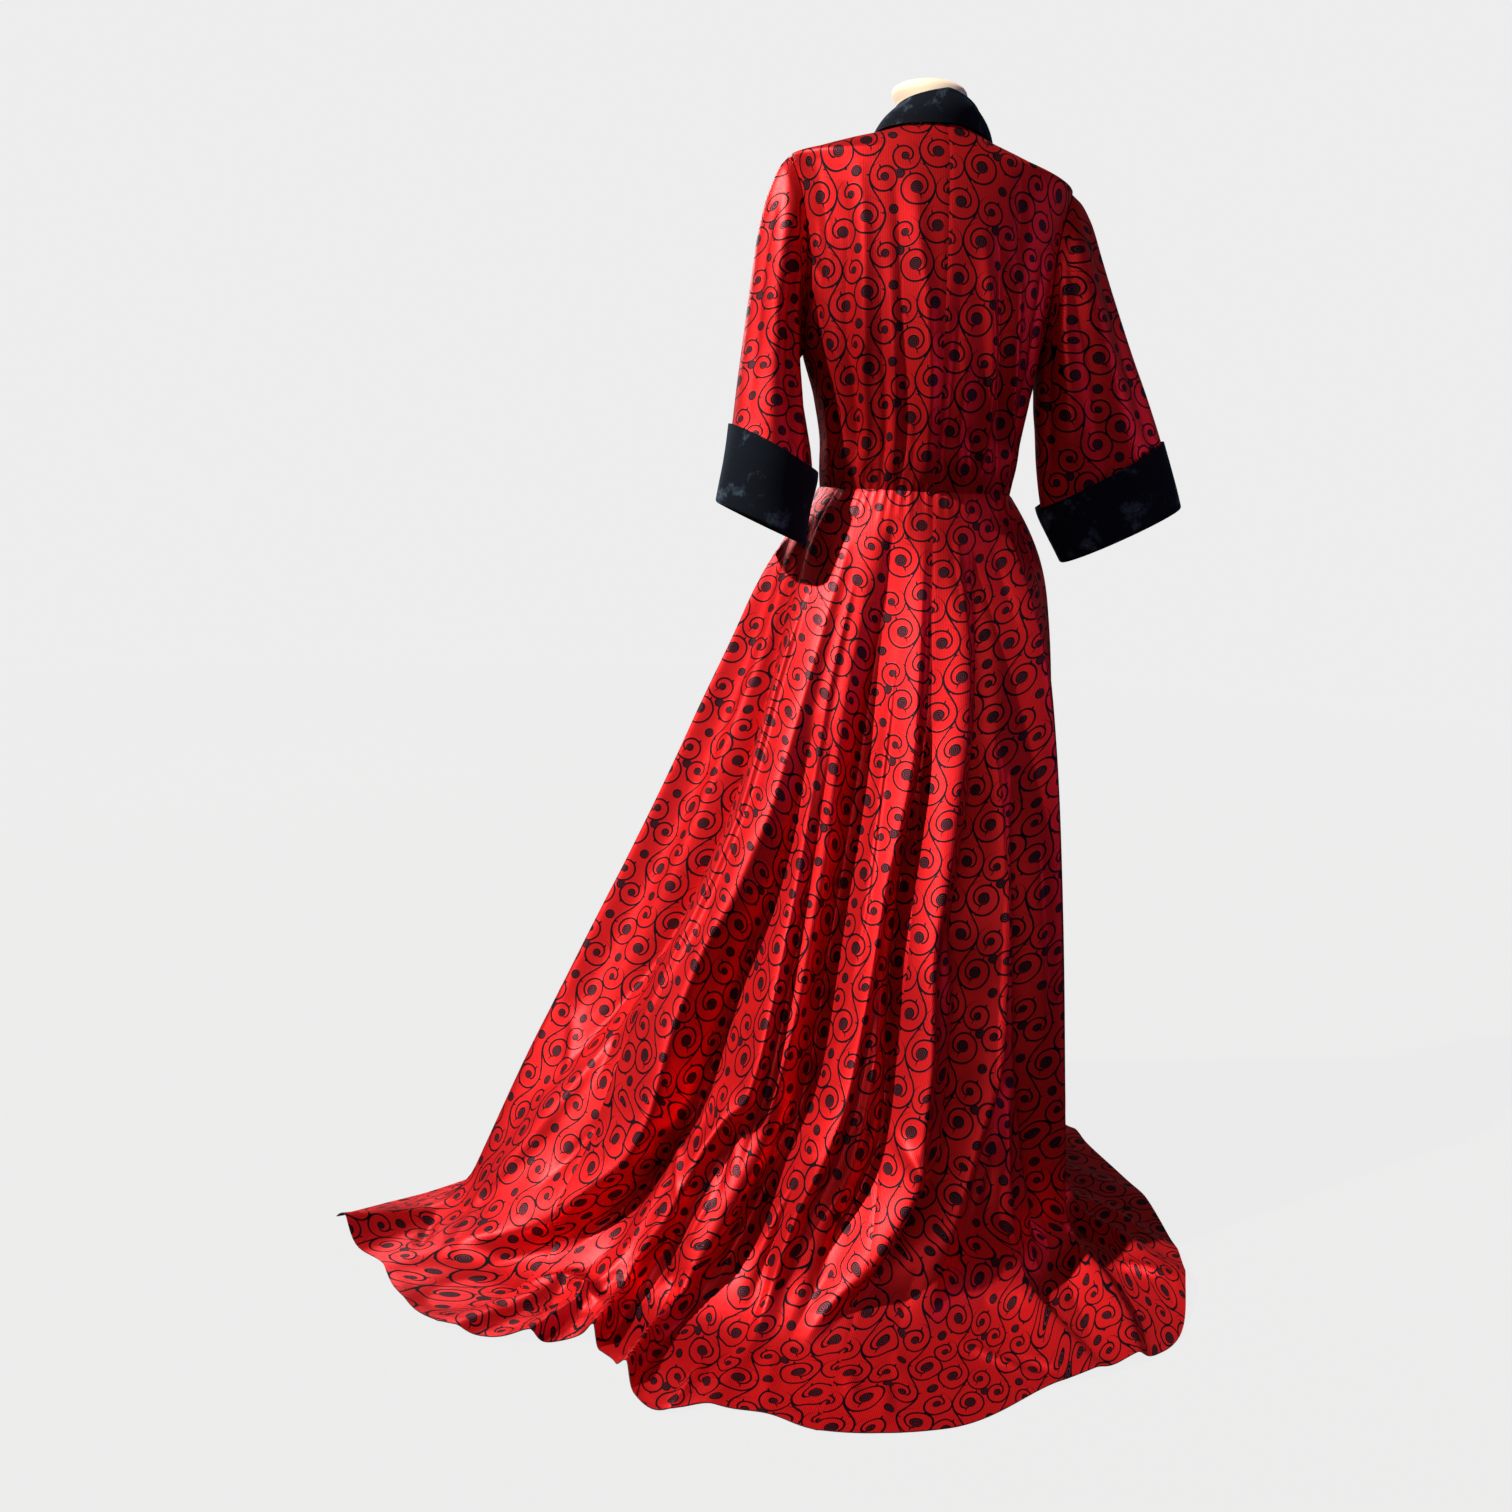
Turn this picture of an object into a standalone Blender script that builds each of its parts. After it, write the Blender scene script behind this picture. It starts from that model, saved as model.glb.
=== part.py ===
# Full-length hostess gown with a train, on a limbless dress form. Metres, +Z up.
# The stand's axis is the Z axis and the floor is Z = 0. The gown's back faces +Y,
# its front faces -Y and the wearer's left is +X. Directions round the body are angles
# from the centre back (0) over the wearer's left side (90) to the centre front (180).

import math

import bmesh
import bpy
import numpy as np
from mathutils import Vector

# Walls and seams
clothWall = 0.0016
velvetWall = 0.0024
seamGap = 0.0004
lapWidth = 0.030
lapStep = clothWall + 0.0008
floorLift = 0.0004

# Heights
waistHeight = 0.900
highHipHeight = 0.825
hipHeight = 0.720
kneeHeight = 0.400
skirtTop = waistHeight - seamGap / 2
bodiceBottom = waistHeight + seamGap / 2

# Stand
baseRadius = 0.150
baseThickness = 0.012
baseEdgeRound = 0.003
poleRadius = 0.0125
formBottom = 0.620
formClearance = 0.0060
shoulderClearance = 0.0024
shoulderRestAngles = (40.0, 10.0)
shoulderRestLevels = (7.0, 8.0)

# Levels of the bodice. Each row gives the reach and height of one ring: at the side,
# at the centre back and at the centre front. The ring called shoulder carries the
# sleeve's top, and the rings above it run in along the shoulder seam to the neck seam.
bodiceColumns = ("halfWidth", "backReach", "frontReach", "sideShift", "sideZ", "backZ", "frontZ")
bodiceLevels = (
    (0.1195, 0.095, 0.090, 0.000, 0.900, 0.900, 0.900),
    (0.1215, 0.106, 0.101, 0.000, 0.955, 0.955, 0.955),
    (0.1315, 0.113, 0.117, 0.000, 1.010, 1.010, 1.010),
    (0.146, 0.116, 0.128, 0.000, 1.060, 1.065, 1.055),
    (0.156, 0.115, 0.130, 0.000, 1.110, 1.120, 1.095),
    (0.162, 0.110, 0.122, 0.000, 1.160, 1.175, 1.135),
    (0.166, 0.102, 0.108, 0.002, 1.205, 1.222, 1.170),
    (0.170, 0.094, 0.096, 0.004, 1.248, 1.260, 1.198),
    (0.174, 0.086, 0.086, 0.006, 1.281, 1.284, 1.218),
    (0.145, 0.081, 0.081, 0.008, 1.292, 1.295, 1.232),
    (0.111, 0.076, 0.075, 0.010, 1.302, 1.304, 1.246),
    (0.079, 0.071, 0.069, 0.012, 1.310, 1.311, 1.260),
    (0.0525, 0.066, 0.063, 0.013, 1.319, 1.317, 1.274),
)
waistShift = -0.004
waistShiftLevels = (1.0, 4.0)
leftShoulderRise = 0.001
rightShoulderDrop = 0.019
shoulderSlantLevels = (4.0, 8.0)
neckSlantLevels = (10.0, 12.0)
neckSlantShare = 0.5
underarmLevel = 3.0
shoulderLevel = 8.0
neckLevel = 12.0
armholeScoop = 21.0
armholeRoundness = 0.55

# Rings of the dress form below the waist: half width, back reach, front reach, height.
# The neck's rings also give the middle's place in X and Y
formLowerRings = (
    (0.138, 0.110, 0.088, 0.620),
    (0.156, 0.126, 0.100, 0.632),
    (0.166, 0.134, 0.108, 0.700),
    (0.160, 0.128, 0.106, 0.770),
    (0.138, 0.108, 0.096, 0.840),
)
formNeckRings = (
    (0.0425, 0.0490, 0.0460, 0.001, 0.005, 1.328),
    (0.0415, 0.0465, 0.0440, 0.001, 0.002, 1.349),
    (0.0460, 0.0470, 0.0445, 0.008, -0.001, 1.362),
    (0.0445, 0.0455, 0.0430, 0.009, -0.002, 1.371),
    (0.0300, 0.0305, 0.0290, 0.009, -0.002, 1.3765),
)

# Soft ridges that the gathered waist seam sends up the bodice, and the two sewn tucks:
# angle, height of the ridge, half width in degrees, level where it has died out
ridgeStart = 0.4
bodiceRidges = (
    (8.0, 0.0030, 5.0, 3.2),
    (22.0, 0.0022, 4.5, 2.4),
    (36.0, 0.0034, 5.0, 3.4),
    (48.0, -0.0026, 3.0, 4.2),
    (62.0, 0.0036, 5.5, 3.0),
    (78.0, 0.0024, 5.0, 2.2),
    (-9.0, 0.0026, 5.0, 2.8),
    (-24.0, 0.0032, 5.0, 3.3),
    (-40.0, 0.0024, 4.5, 2.6),
    (-54.0, 0.0036, 5.0, 3.6),
    (-63.0, -0.0026, 3.0, 4.0),
    (-76.0, 0.0030, 5.0, 2.6),
    (112.0, 0.0026, 6.0, 2.6),
    (132.0, 0.0030, 6.0, 3.0),
    (152.0, 0.0024, 5.0, 2.4),
    (-112.0, 0.0028, 6.0, 2.8),
    (-134.0, 0.0026, 6.0, 2.6),
    (-153.0, 0.0026, 5.0, 2.8),
)

# Plan of the skirt, a row for each direction round the waist: reach at the high hip, the
# hip and the knee, then direction and reach where the cloth meets the floor and at the hem
skirtColumns = ("waist", "high", "hip", "knee", "floorAngle", "floorReach", "hemAngle", "hemReach")
skirtPlan = (
    (-180.0, 0.108, 0.132, 0.185, -180.0, 0.240, -180.0, 0.350),
    (-150.0, 0.122, 0.150, 0.188, -150.0, 0.230, -148.0, 0.320),
    (-120.0, 0.148, 0.172, 0.200, -120.0, 0.224, -116.0, 0.305),
    (-95.0, 0.172, 0.187, 0.197, -94.0, 0.218, -90.0, 0.306),
    (-78.0, 0.170, 0.187, 0.202, -72.0, 0.232, -61.0, 0.380),
    (-62.0, 0.156, 0.182, 0.222, -52.0, 0.266, -41.0, 0.463),
    (-45.0, 0.142, 0.176, 0.239, -34.0, 0.312, -26.0, 0.520),
    (-28.0, 0.129, 0.167, 0.250, -14.0, 0.360, -11.0, 0.522),
    (-12.0, 0.124, 0.160, 0.262, 3.0, 0.400, 4.0, 0.574),
    (0.0, 0.124, 0.160, 0.272, 14.0, 0.420, 16.5, 0.590),
    (8.0, 0.125, 0.162, 0.280, 19.8, 0.426, 21.5, 0.580),
    (16.0, 0.127, 0.165, 0.288, 25.0, 0.435, 27.0, 0.592),
    (24.0, 0.130, 0.169, 0.295, 30.0, 0.444, 31.5, 0.620),
    (30.0, 0.133, 0.173, 0.301, 34.0, 0.452, 35.5, 0.606),
    (36.0, 0.136, 0.177, 0.307, 38.0, 0.460, 39.5, 0.588),
    (44.0, 0.142, 0.183, 0.315, 43.5, 0.474, 43.5, 0.578),
    (50.0, 0.147, 0.188, 0.320, 47.5, 0.490, 47.0, 0.608),
    (56.0, 0.153, 0.192, 0.329, 51.8, 0.508, 51.0, 0.638),
    (62.0, 0.159, 0.195, 0.336, 56.3, 0.526, 55.5, 0.666),
    (70.0, 0.165, 0.199, 0.343, 62.5, 0.556, 62.5, 0.680),
    (78.0, 0.168, 0.200, 0.348, 69.5, 0.574, 70.0, 0.712),
    (90.0, 0.168, 0.200, 0.348, 77.0, 0.574, 77.5, 0.724),
    (104.0, 0.159, 0.190, 0.308, 87.0, 0.455, 86.0, 0.590),
    (122.0, 0.142, 0.172, 0.250, 108.0, 0.340, 106.0, 0.470),
    (150.0, 0.122, 0.148, 0.205, 144.0, 0.265, 143.0, 0.380),
    (180.0, 0.108, 0.132, 0.185, 180.0, 0.240, 180.0, 0.350),
)
floorBend = 0.055
bendSamples = 9
hangingSteps = 46

# Folds of the skirt. Each runs down the cloth, its direction counted at the waist and
# given for four places on the way down. A height above 0 is a ridge and below 0 a
# valley. Starts, full and fades are shares of the way from waist to hem.
foldPlaces = (0.2, 0.5, 0.75, 1.0)
foldFade = 0.15
valleyFadeHeights = (0.01, 0.10)
foldColumns = ("high", "middle", "low", "hem", "height", "width", "starts", "full", "fades")
skirtFolds = (
    # left side and train, from the left ridge to the centre back
    (90.0, 90.0, 89.0, 88.0, 0.014, 8.0, 0.10, 0.70, 1.50),
    (88.0, 88.0, 88.0, 88.0, 0.018, 6.0, 0.84, 0.98, 1.50),
    (59.0, 60.5, 71.0, 80.0, -0.018, 8.0, 0.06, 0.45, 0.94),
    (37.0, 45.0, 60.0, 76.0, 0.018, 6.5, 0.06, 0.45, 0.99),
    (33.0, 38.5, 48.0, 64.0, -0.017, 4.5, 0.30, 0.55, 0.94),
    (75.0, 74.0, 72.0, 50.0, 0.022, 5.0, 0.84, 0.94, 1.50),
    (31.0, 30.0, 37.0, 42.5, 0.017, 4.0, 0.35, 0.60, 1.50),
    (31.0, 25.5, 32.0, 36.5, -0.012, 3.2, 0.08, 0.40, 0.95),
    (26.5, 22.5, 27.5, 31.5, 0.018, 4.0, 0.06, 0.45, 1.50),
    (8.0, 16.5, 22.0, 25.0, -0.020, 5.5, 0.05, 0.45, 0.95),
    (2.0, 9.0, 15.0, 18.0, 0.014, 4.5, 0.10, 0.55, 1.10),
    # centre back to the right side
    (-3.0, 1.5, 3.0, 13.0, -0.014, 4.0, 0.22, 0.50, 0.96),
    (-16.0, -5.0, -5.0, 10.0, 0.021, 4.5, 0.06, 0.45, 0.92),
    (-25.0, -14.5, -9.0, 6.0, -0.022, 5.0, 0.05, 0.45, 0.88),
    (-22.0, -22.0, -17.0, -12.0, 0.014, 4.5, 0.56, 0.68, 0.90),
    (-42.0, -25.0, -22.0, -22.0, 0.016, 6.0, 0.05, 0.40, 0.75),
    (-23.0, -23.0, -23.0, -36.0, 0.012, 4.0, 0.68, 0.80, 1.00),
    (-30.0, -31.0, -34.5, -42.0, -0.014, 3.5, 0.30, 0.50, 0.90),
    (-45.0, -39.0, -41.0, -41.0, 0.017, 4.5, 0.15, 0.50, 1.10),
    (-52.0, -51.0, -51.0, -52.0, -0.012, 5.0, 0.08, 0.50, 0.90),
    (-62.0, -61.0, -62.0, -62.0, 0.012, 5.5, 0.08, 0.50, 1.10),
    (-76.0, -76.0, -76.0, -74.0, -0.010, 7.0, 0.15, 0.60, 0.90),
    # right side, front and left front, which the photo hides
    (-98.0, -98.0, -98.0, -98.0, 0.012, 8.0, 0.12, 0.60, 1.00),
    (-120.0, -120.0, -120.0, -119.0, -0.013, 8.0, 0.20, 0.70, 0.92),
    (-141.0, -141.0, -141.0, -140.0, 0.015, 8.0, 0.15, 0.65, 1.10),
    (-161.0, -161.0, -161.0, -161.0, -0.010, 7.0, 0.20, 0.70, 0.92),
    (112.0, 112.0, 112.0, 110.0, -0.014, 8.0, 0.15, 0.60, 0.92),
    (136.0, 136.0, 136.0, 137.0, 0.016, 9.0, 0.15, 0.65, 1.10),
    (159.0, 159.0, 159.0, 160.0, -0.010, 7.0, 0.20, 0.70, 0.92),
)

# Sleeves, a row for each ring from the armhole to the open end: the top outer point and
# the underarm point in the X-Z plane, the ring's half depth and its shift towards +Y
sleeveColumns = ("outerX", "outerZ", "innerX", "innerZ", "halfDepth", "shift")
leftSleeveRings = (
    (0.174, 1.285, 0.147, 1.060, 0.040, 0.000),
    (0.187, 1.277, 0.152, 1.050, 0.046, 0.000),
    (0.198, 1.239, 0.152, 1.032, 0.053, 0.002),
    (0.207, 1.190, 0.148, 1.007, 0.058, 0.004),
    (0.214, 1.135, 0.143, 0.983, 0.060, 0.010),
    (0.221, 1.075, 0.139, 0.960, 0.059, 0.019),
    (0.228, 1.018, 0.136, 0.937, 0.058, 0.030),
    (0.234, 0.965, 0.135, 0.913, 0.056, 0.042),
    (0.241, 0.925, 0.143, 0.873, 0.050, 0.058),
    (0.250, 0.880, 0.147, 0.835, 0.046, 0.072),
)
rightSleeveRings = (
    (0.174, 1.263, 0.148, 1.060, 0.040, 0.000),
    (0.188, 1.258, 0.151, 1.050, 0.045, 0.002),
    (0.199, 1.232, 0.151, 1.028, 0.048, 0.005),
    (0.214, 1.188, 0.151, 1.004, 0.048, 0.009),
    (0.236, 1.135, 0.153, 0.978, 0.046, 0.013),
    (0.262, 1.075, 0.155, 0.946, 0.043, 0.017),
    (0.288, 1.020, 0.159, 0.914, 0.039, 0.020),
    (0.312, 0.968, 0.165, 0.884, 0.036, 0.022),
    (0.328, 0.931, 0.180, 0.853, 0.034, 0.022),
    (0.343, 0.895, 0.197, 0.822, 0.033, 0.022),
)
sleeveBlendRings = 4.0
sleeveOverlap = 1.2
cuffTopRing = 6.9
cuffFlare = 0.003

# Collar: height of the stand, how far its fold leans in and level of the fall's edge on
# the bodice, at the centre back, the sides, the front and the front end
collarAngles = (0.0, 90.0, 150.0, 178.0)
collarStand = (0.047, 0.024, 0.017, 0.012)
collarLean = (0.009, 0.007, 0.003, 0.000)
collarEdgeLevel = (11.85, 11.35, 9.9, 9.2)
collarFoldRadius = 0.0028
collarFootGap = 0.0016
collarStandOff = (0.0032, 0.0034, 0.0053, 0.0061)
collarFoldTurns = (180.0, 120.0, 60.0, 0.0)
collarFallShares = (0.35, 0.7)

# Buttons down the centre front
buttonLevels = (0.7, 2.4, 4.2, 6.2, 8.2)
buttonRadius = 0.0075
buttonThickness = 0.0040
buttonGap = 0.00085
buttonEdgeRound = 0.0014
buttonSides = 18

# Colours: red brocade, black velvet, cream form, black metal
brocadeLook = ((0.50, 0.02, 0.02, 1.0), 0.42, 0.0)
velvetLook = ((0.006, 0.010, 0.016, 1.0), 0.90, 0.0)
formLook = ((0.86, 0.80, 0.68, 1.0), 0.60, 0.0)
metalLook = ((0.03, 0.03, 0.03, 1.0), 0.40, 0.9)

# Seams of the skirt and the front lap, as directions at the waist
sideBackSeam = 62.0
sideFrontSeam = 122.0
skirtLap = 7.4
bodiceLapRise = (145.0, 164.0)
skirtLapRise = (24.0, 9.0)

# Fineness of the pieces: rows and columns of their walls
bodiceRows = (0.0, 0.7, 1.4, 2.1, 2.7, 3.0, 3.12, 3.5, 4.2, 5.0, 5.9, 6.8, 7.5, 8.0, 9.3, 10.7, 12.0)
shoulderCrowding = 1.35
backColumns = 10
frontColumns = 10
skirtRowCount = 22
backLeftColumns = 26
backRightColumns = 24
sideLeftColumns = 14
sideRightColumns = 10
frontSkirtColumns = 10
sleeveTurns = 22
sleeveRows = (0.0, 0.5, 1.2, 2.0, 3.0, 4.0, 5.0, 6.0, 7.0, 8.0, 9.0)
cuffRowCount = 4
collarColumns = 27
collarEnd = 177.0
collarCentre = 0.005
collarBelly = 0.003
formTurns = 30
poleSides = 24
baseSides = 48
formLevels = (0.0, 0.7, 1.4, 2.2, 3.0, 4.0, 5.0, 6.0, 7.0, 8.0, 9.5, 11.0, 12.0)
formTop = 1.378
sharpAngle = math.radians(50.0)

# Half step for the slopes of the surfaces, in degrees, levels and shares
angleStep = 0.25
sleeveTurnStep = 1.0
levelStep = 0.02
shareStep = 0.002


def clearScene():
    for item in list(bpy.data.objects):
        bpy.data.objects.remove(item, do_unlink=True)


def makeMaterial(name, look):
    colour, roughness, metallic = look
    material = bpy.data.materials.new(name)
    material.use_nodes = True
    shader = material.node_tree.nodes["Principled BSDF"]
    shader.inputs["Base Color"].default_value = colour
    shader.inputs["Roughness"].default_value = roughness
    shader.inputs["Metallic"].default_value = metallic
    return material


def curveThrough(knots, values, at):
    # Smooth curve through table values that never overshoots them
    knots = np.asarray(knots, float)
    values = np.asarray(values, float)
    at = np.clip(np.asarray(at, float), knots[0], knots[-1])
    spans = np.diff(knots)
    rises = np.diff(values) / spans
    slopes = np.zeros(len(knots))
    slopes[0] = rises[0]
    slopes[-1] = rises[-1]
    for i in range(1, len(knots) - 1):
        if rises[i - 1] * rises[i] > 0:
            before = 2 * spans[i] + spans[i - 1]
            after = spans[i] + 2 * spans[i - 1]
            slopes[i] = (before + after) / (before / rises[i - 1] + after / rises[i])
    index = np.clip(np.searchsorted(knots, at, side="right") - 1, 0, len(knots) - 2)
    span = spans[index]
    t = (at - knots[index]) / span
    start = values[index] * (1 + 2 * t) * (1 - t) ** 2
    end = values[index + 1] * t ** 2 * (3 - 2 * t)
    leave = slopes[index] * span * t * (1 - t) ** 2
    arrive = slopes[index + 1] * span * t ** 2 * (t - 1)
    return start + end + leave + arrive


def easeBetween(low, high, value):
    t = np.clip((np.asarray(value, float) - low) / (high - low), 0.0, 1.0)
    return t * t * (3 - 2 * t)


def unit(vectors):
    return vectors / np.maximum(np.linalg.norm(vectors, axis=-1, keepdims=True), 1e-12)


def turnDifference(angle, centre):
    return (angle - centre + 180.0) % 360.0 - 180.0


def ringPoint(angle, columns):
    # One ring: half an ellipse at the back and half at the front, whose middles sit at their own height
    halfWidth, backReach, frontReach, sideShift, sideZ, backZ, frontZ = columns
    turn = np.radians(angle)
    forward = np.cos(turn)
    back = forward > 0
    reach = np.where(back, backReach - sideShift, frontReach + sideShift)
    middleZ = np.where(back, backZ, frontZ)
    x = halfWidth * np.sin(turn)
    y = sideShift + reach * forward
    z = sideZ + (middleZ - sideZ) * forward ** 2
    return np.stack([x, y, z], axis=-1)


def bodiceBase(angle, level):
    angle, level = np.broadcast_arrays(np.asarray(angle, float), np.asarray(level, float))
    table = np.array(bodiceLevels)
    rows = np.arange(len(table))
    columns = [curveThrough(rows, table[:, i], level) for i in range(len(bodiceColumns))]
    point = ringPoint(angle, columns)
    # The gown hangs a little lower on its right shoulder than on its left
    side = np.sin(np.radians(angle))
    uneven = np.where(side > 0, leftShoulderRise, -rightShoulderDrop) * side ** 2
    nearNeck = neckSlantShare * easeBetween(*neckSlantLevels, level)
    point[..., 2] += uneven * easeBetween(*shoulderSlantLevels, level) * (1 - nearNeck)
    point[..., 0] += waistShift * (1 - easeBetween(*waistShiftLevels, level))
    low = np.minimum(level, 0.0)
    point[..., 2] += low * (bodiceLevels[1][4] - bodiceLevels[0][4])
    return point


def slopesNormal(surface, angle, along, step):
    angle, along = np.broadcast_arrays(np.asarray(angle, float), np.asarray(along, float))
    across = surface(angle + angleStep, along) - surface(angle - angleStep, along)
    down = surface(angle, along + step) - surface(angle, along - step)
    return unit(np.cross(across, down))


def bodiceSurface(angle, level):
    angle, level = np.broadcast_arrays(np.asarray(angle, float), np.asarray(level, float))
    base = bodiceBase(angle, level)
    # Heights run upwards here, so the outward side is the reverse of the cross product
    outward = -slopesNormal(bodiceBase, angle, np.clip(level, 0.05, neckLevel - 0.05), levelStep)
    lift = np.zeros(angle.shape)
    for centre, height, width, diesAt in bodiceRidges:
        away = turnDifference(angle, centre) / width
        lift += height * np.exp(-away ** 2) * (1 - easeBetween(ridgeStart, diesAt, level))
    return base + outward * lift[..., None]


def skirtBase(angle, share):
    angle, share = np.broadcast_arrays(np.asarray(angle, float), np.asarray(share, float))
    table = np.array(skirtPlan)
    turning = [skirtColumns.index(name) for name in ("waist", "floorAngle", "hemAngle")]
    before = table[-4:-1].copy()
    before[:, turning] -= 360.0
    after = table[1:4].copy()
    after[:, turning] += 360.0
    table = np.concatenate([before, table, after])
    column = {name: table[:, i] for i, name in enumerate(skirtColumns)}
    directions, inverse = np.unique(np.round(angle, 6), return_inverse=True)
    inverse = inverse.reshape(angle.shape)
    result = np.zeros(angle.shape + (3,))
    heights = np.linspace(skirtTop, 0.0, hangingSteps)
    for i, direction in enumerate(directions):
        row = {name: curveThrough(column["waist"], column[name], direction) for name in skirtColumns}
        waist = bodiceBase(direction, 0.0)
        waistReach = math.hypot(waist[0], waist[1])
        waistAngle = math.degrees(math.atan2(waist[0], waist[1]))
        waistAngle += 360.0 * round((direction - waistAngle) / 360.0)
        knots = (0.0, kneeHeight, hipHeight, highHipHeight, waistHeight)
        reaches = [float(row[name]) for name in ("floorReach", "knee", "hip", "high")] + [waistReach]
        reach = curveThrough(knots, reaches, heights)
        down = (waistHeight - heights) / waistHeight
        turn = np.radians(waistAngle + (float(row["floorAngle"]) - waistAngle) * down)
        hanging = np.stack([reach * np.sin(turn), reach * np.cos(turn), heights], axis=-1)
        hemTurn = math.radians(float(row["hemAngle"]))
        hemReach = float(row["hemReach"])
        hem = np.array([[hemReach * math.sin(hemTurn), hemReach * math.cos(hemTurn), 0.0]])
        path = np.concatenate([hanging, hem])
        lengths = np.concatenate([[0.0], np.cumsum(np.linalg.norm(np.diff(path, axis=0), axis=1))])
        chosen = inverse == i
        way = share[chosen] * lengths[-1]
        point = np.zeros((way.size, 3))
        windows = np.linspace(-1.0, 1.0, bendSamples)
        ends = (path[1] - path[0]) / lengths[1], (path[-1] - path[-2]) / (lengths[-1] - lengths[-2])
        for window in windows:
            spot = way + window * floorBend
            inside = np.clip(spot, 0.0, lengths[-1])
            for axis in range(3):
                point[:, axis] += np.interp(inside, lengths, path[:, axis])
            point += np.outer(np.minimum(spot, 0.0), ends[0])
            point += np.outer(np.maximum(spot - lengths[-1], 0.0), ends[1])
        result[chosen] = point / len(windows)
    result[..., 2] += clothWall / 2 + floorLift
    return result


def foldLift(angle, share):
    lift = np.zeros(angle.shape)
    for row in skirtFolds:
        fold = dict(zip(foldColumns, row))
        centre = curveThrough(foldPlaces, [fold[name] for name in foldColumns[:4]], share)
        grows = easeBetween(fold["starts"], fold["full"], share)
        stays = 1 - easeBetween(fold["fades"] - foldFade, fold["fades"], share)
        away = turnDifference(angle, centre) / fold["width"]
        lift += fold["height"] * grows * stays * np.exp(-away ** 2)
    return lift


def skirtSurface(angle, share):
    angle, share = np.broadcast_arrays(np.asarray(angle, float), np.asarray(share, float))
    base = skirtBase(angle, share)
    outward = slopesNormal(skirtBase, angle, share, shareStep)
    lift = foldLift(angle, share)
    hanging = easeBetween(*valleyFadeHeights, base[..., 2])
    lift = np.where(lift < 0, lift * hanging, lift)
    point = base + outward * lift[..., None]
    point[..., 2] = np.maximum(point[..., 2], clothWall / 2 + floorLift)
    return point


def armholeAngle(level):
    share = np.clip((np.asarray(level, float) - underarmLevel) / (shoulderLevel - underarmLevel), 0, 1)
    return 90.0 - armholeScoop * np.sin(math.pi * share) ** armholeRoundness


def sleeveSurface(side, rings, turn, ring):
    # Turn 0 is the sleeve's top line, 90 its back, 180 the underarm and 270 its front
    turn, ring = np.broadcast_arrays(np.asarray(turn, float), np.asarray(ring, float))
    table = np.array(rings)
    rows = np.arange(len(table))
    column = {name: curveThrough(rows, table[:, i], ring) for i, name in enumerate(sleeveColumns)}
    angle = np.radians(turn)
    middle = np.stack([(column["outerX"] + column["innerX"]) / 2, column["shift"],
                       (column["outerZ"] + column["innerZ"]) / 2], axis=-1)
    rise = np.stack([(column["outerX"] - column["innerX"]) / 2, 0 * ring,
                     (column["outerZ"] - column["innerZ"]) / 2], axis=-1)
    point = middle + rise * np.cos(angle)[..., None]
    point[..., 1] += column["halfDepth"] * np.sin(angle)
    start = sleeveStart(side, turn)
    first = dict(zip(sleeveColumns, rings[0]))
    plain = np.stack([
        (first["outerX"] + first["innerX"]) / 2 + (first["outerX"] - first["innerX"]) / 2 * np.cos(angle),
        first["shift"] + first["halfDepth"] * np.sin(angle),
        (first["outerZ"] + first["innerZ"]) / 2 + (first["outerZ"] - first["innerZ"]) / 2 * np.cos(angle),
    ], axis=-1)
    stays = 1 - easeBetween(0.0, sleeveBlendRings, ring)
    return point + (start - plain) * stays[..., None]


def sleeveStart(side, turn):
    # The armhole curve of the bodice, moved out so that the sleeve laps over its edge
    turn = np.asarray(turn, float) % 360.0
    back = turn <= 180.0
    down = np.where(back, turn, 360.0 - turn) / 180.0
    height = (1 + np.cos(math.pi * down)) / 2
    level = underarmLevel + (shoulderLevel - underarmLevel) * height
    edge = armholeAngle(level) - sleeveOverlap
    angle = np.where(back, edge, 180.0 - edge)
    point = bodiceBase(side * angle, level)
    outward = -slopesNormal(bodiceBase, side * angle, level, levelStep)
    return (point + outward * (clothWall + seamGap)) * np.array([side, 1.0, 1.0])


def gridNormals(points):
    across = np.gradient(points, axis=0)
    along = np.gradient(points, axis=1)
    return unit(np.cross(across, along))


def wallMesh(name, points, outward, thickness, material, closedAround=False):
    # A closed wall about a grid of points: an outer and an inner skin joined at the edges
    count, rows = points.shape[:2]
    outer = points + outward * thickness / 2
    inner = points - outward * thickness / 2
    outer[..., 2] = np.maximum(outer[..., 2], floorLift)
    inner[..., 2] = np.maximum(inner[..., 2], floorLift)
    mesh = bmesh.new()
    skins = []
    for skin in (outer, inner):
        skins.append([[mesh.verts.new(skin[i, j]) for j in range(rows)] for i in range(count)])
    top, under = skins
    spans = count if closedAround else count - 1
    for i in range(spans):
        after = (i + 1) % count
        for j in range(rows - 1):
            corners = ((i, j), (after, j), (after, j + 1), (i, j + 1))
            first = np.linalg.norm(points[corners[0]] - points[corners[2]])
            second = np.linalg.norm(points[corners[1]] - points[corners[3]])
            halves = ((0, 1, 2), (0, 2, 3)) if first <= second else ((0, 1, 3), (1, 2, 3))
            for half in halves:
                places = [corners[k] for k in half]
                mesh.faces.new([top[a][b] for a, b in places])
                mesh.faces.new([under[a][b] for a, b in reversed(places)])
        for j in (0, rows - 1):
            mesh.faces.new((top[i][j], under[i][j], under[after][j], top[after][j]))
    if not closedAround:
        for i in (0, count - 1):
            for j in range(rows - 1):
                mesh.faces.new((top[i][j], top[i][j + 1], under[i][j + 1], under[i][j]))
    return finishMesh(name, mesh, material)


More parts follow.
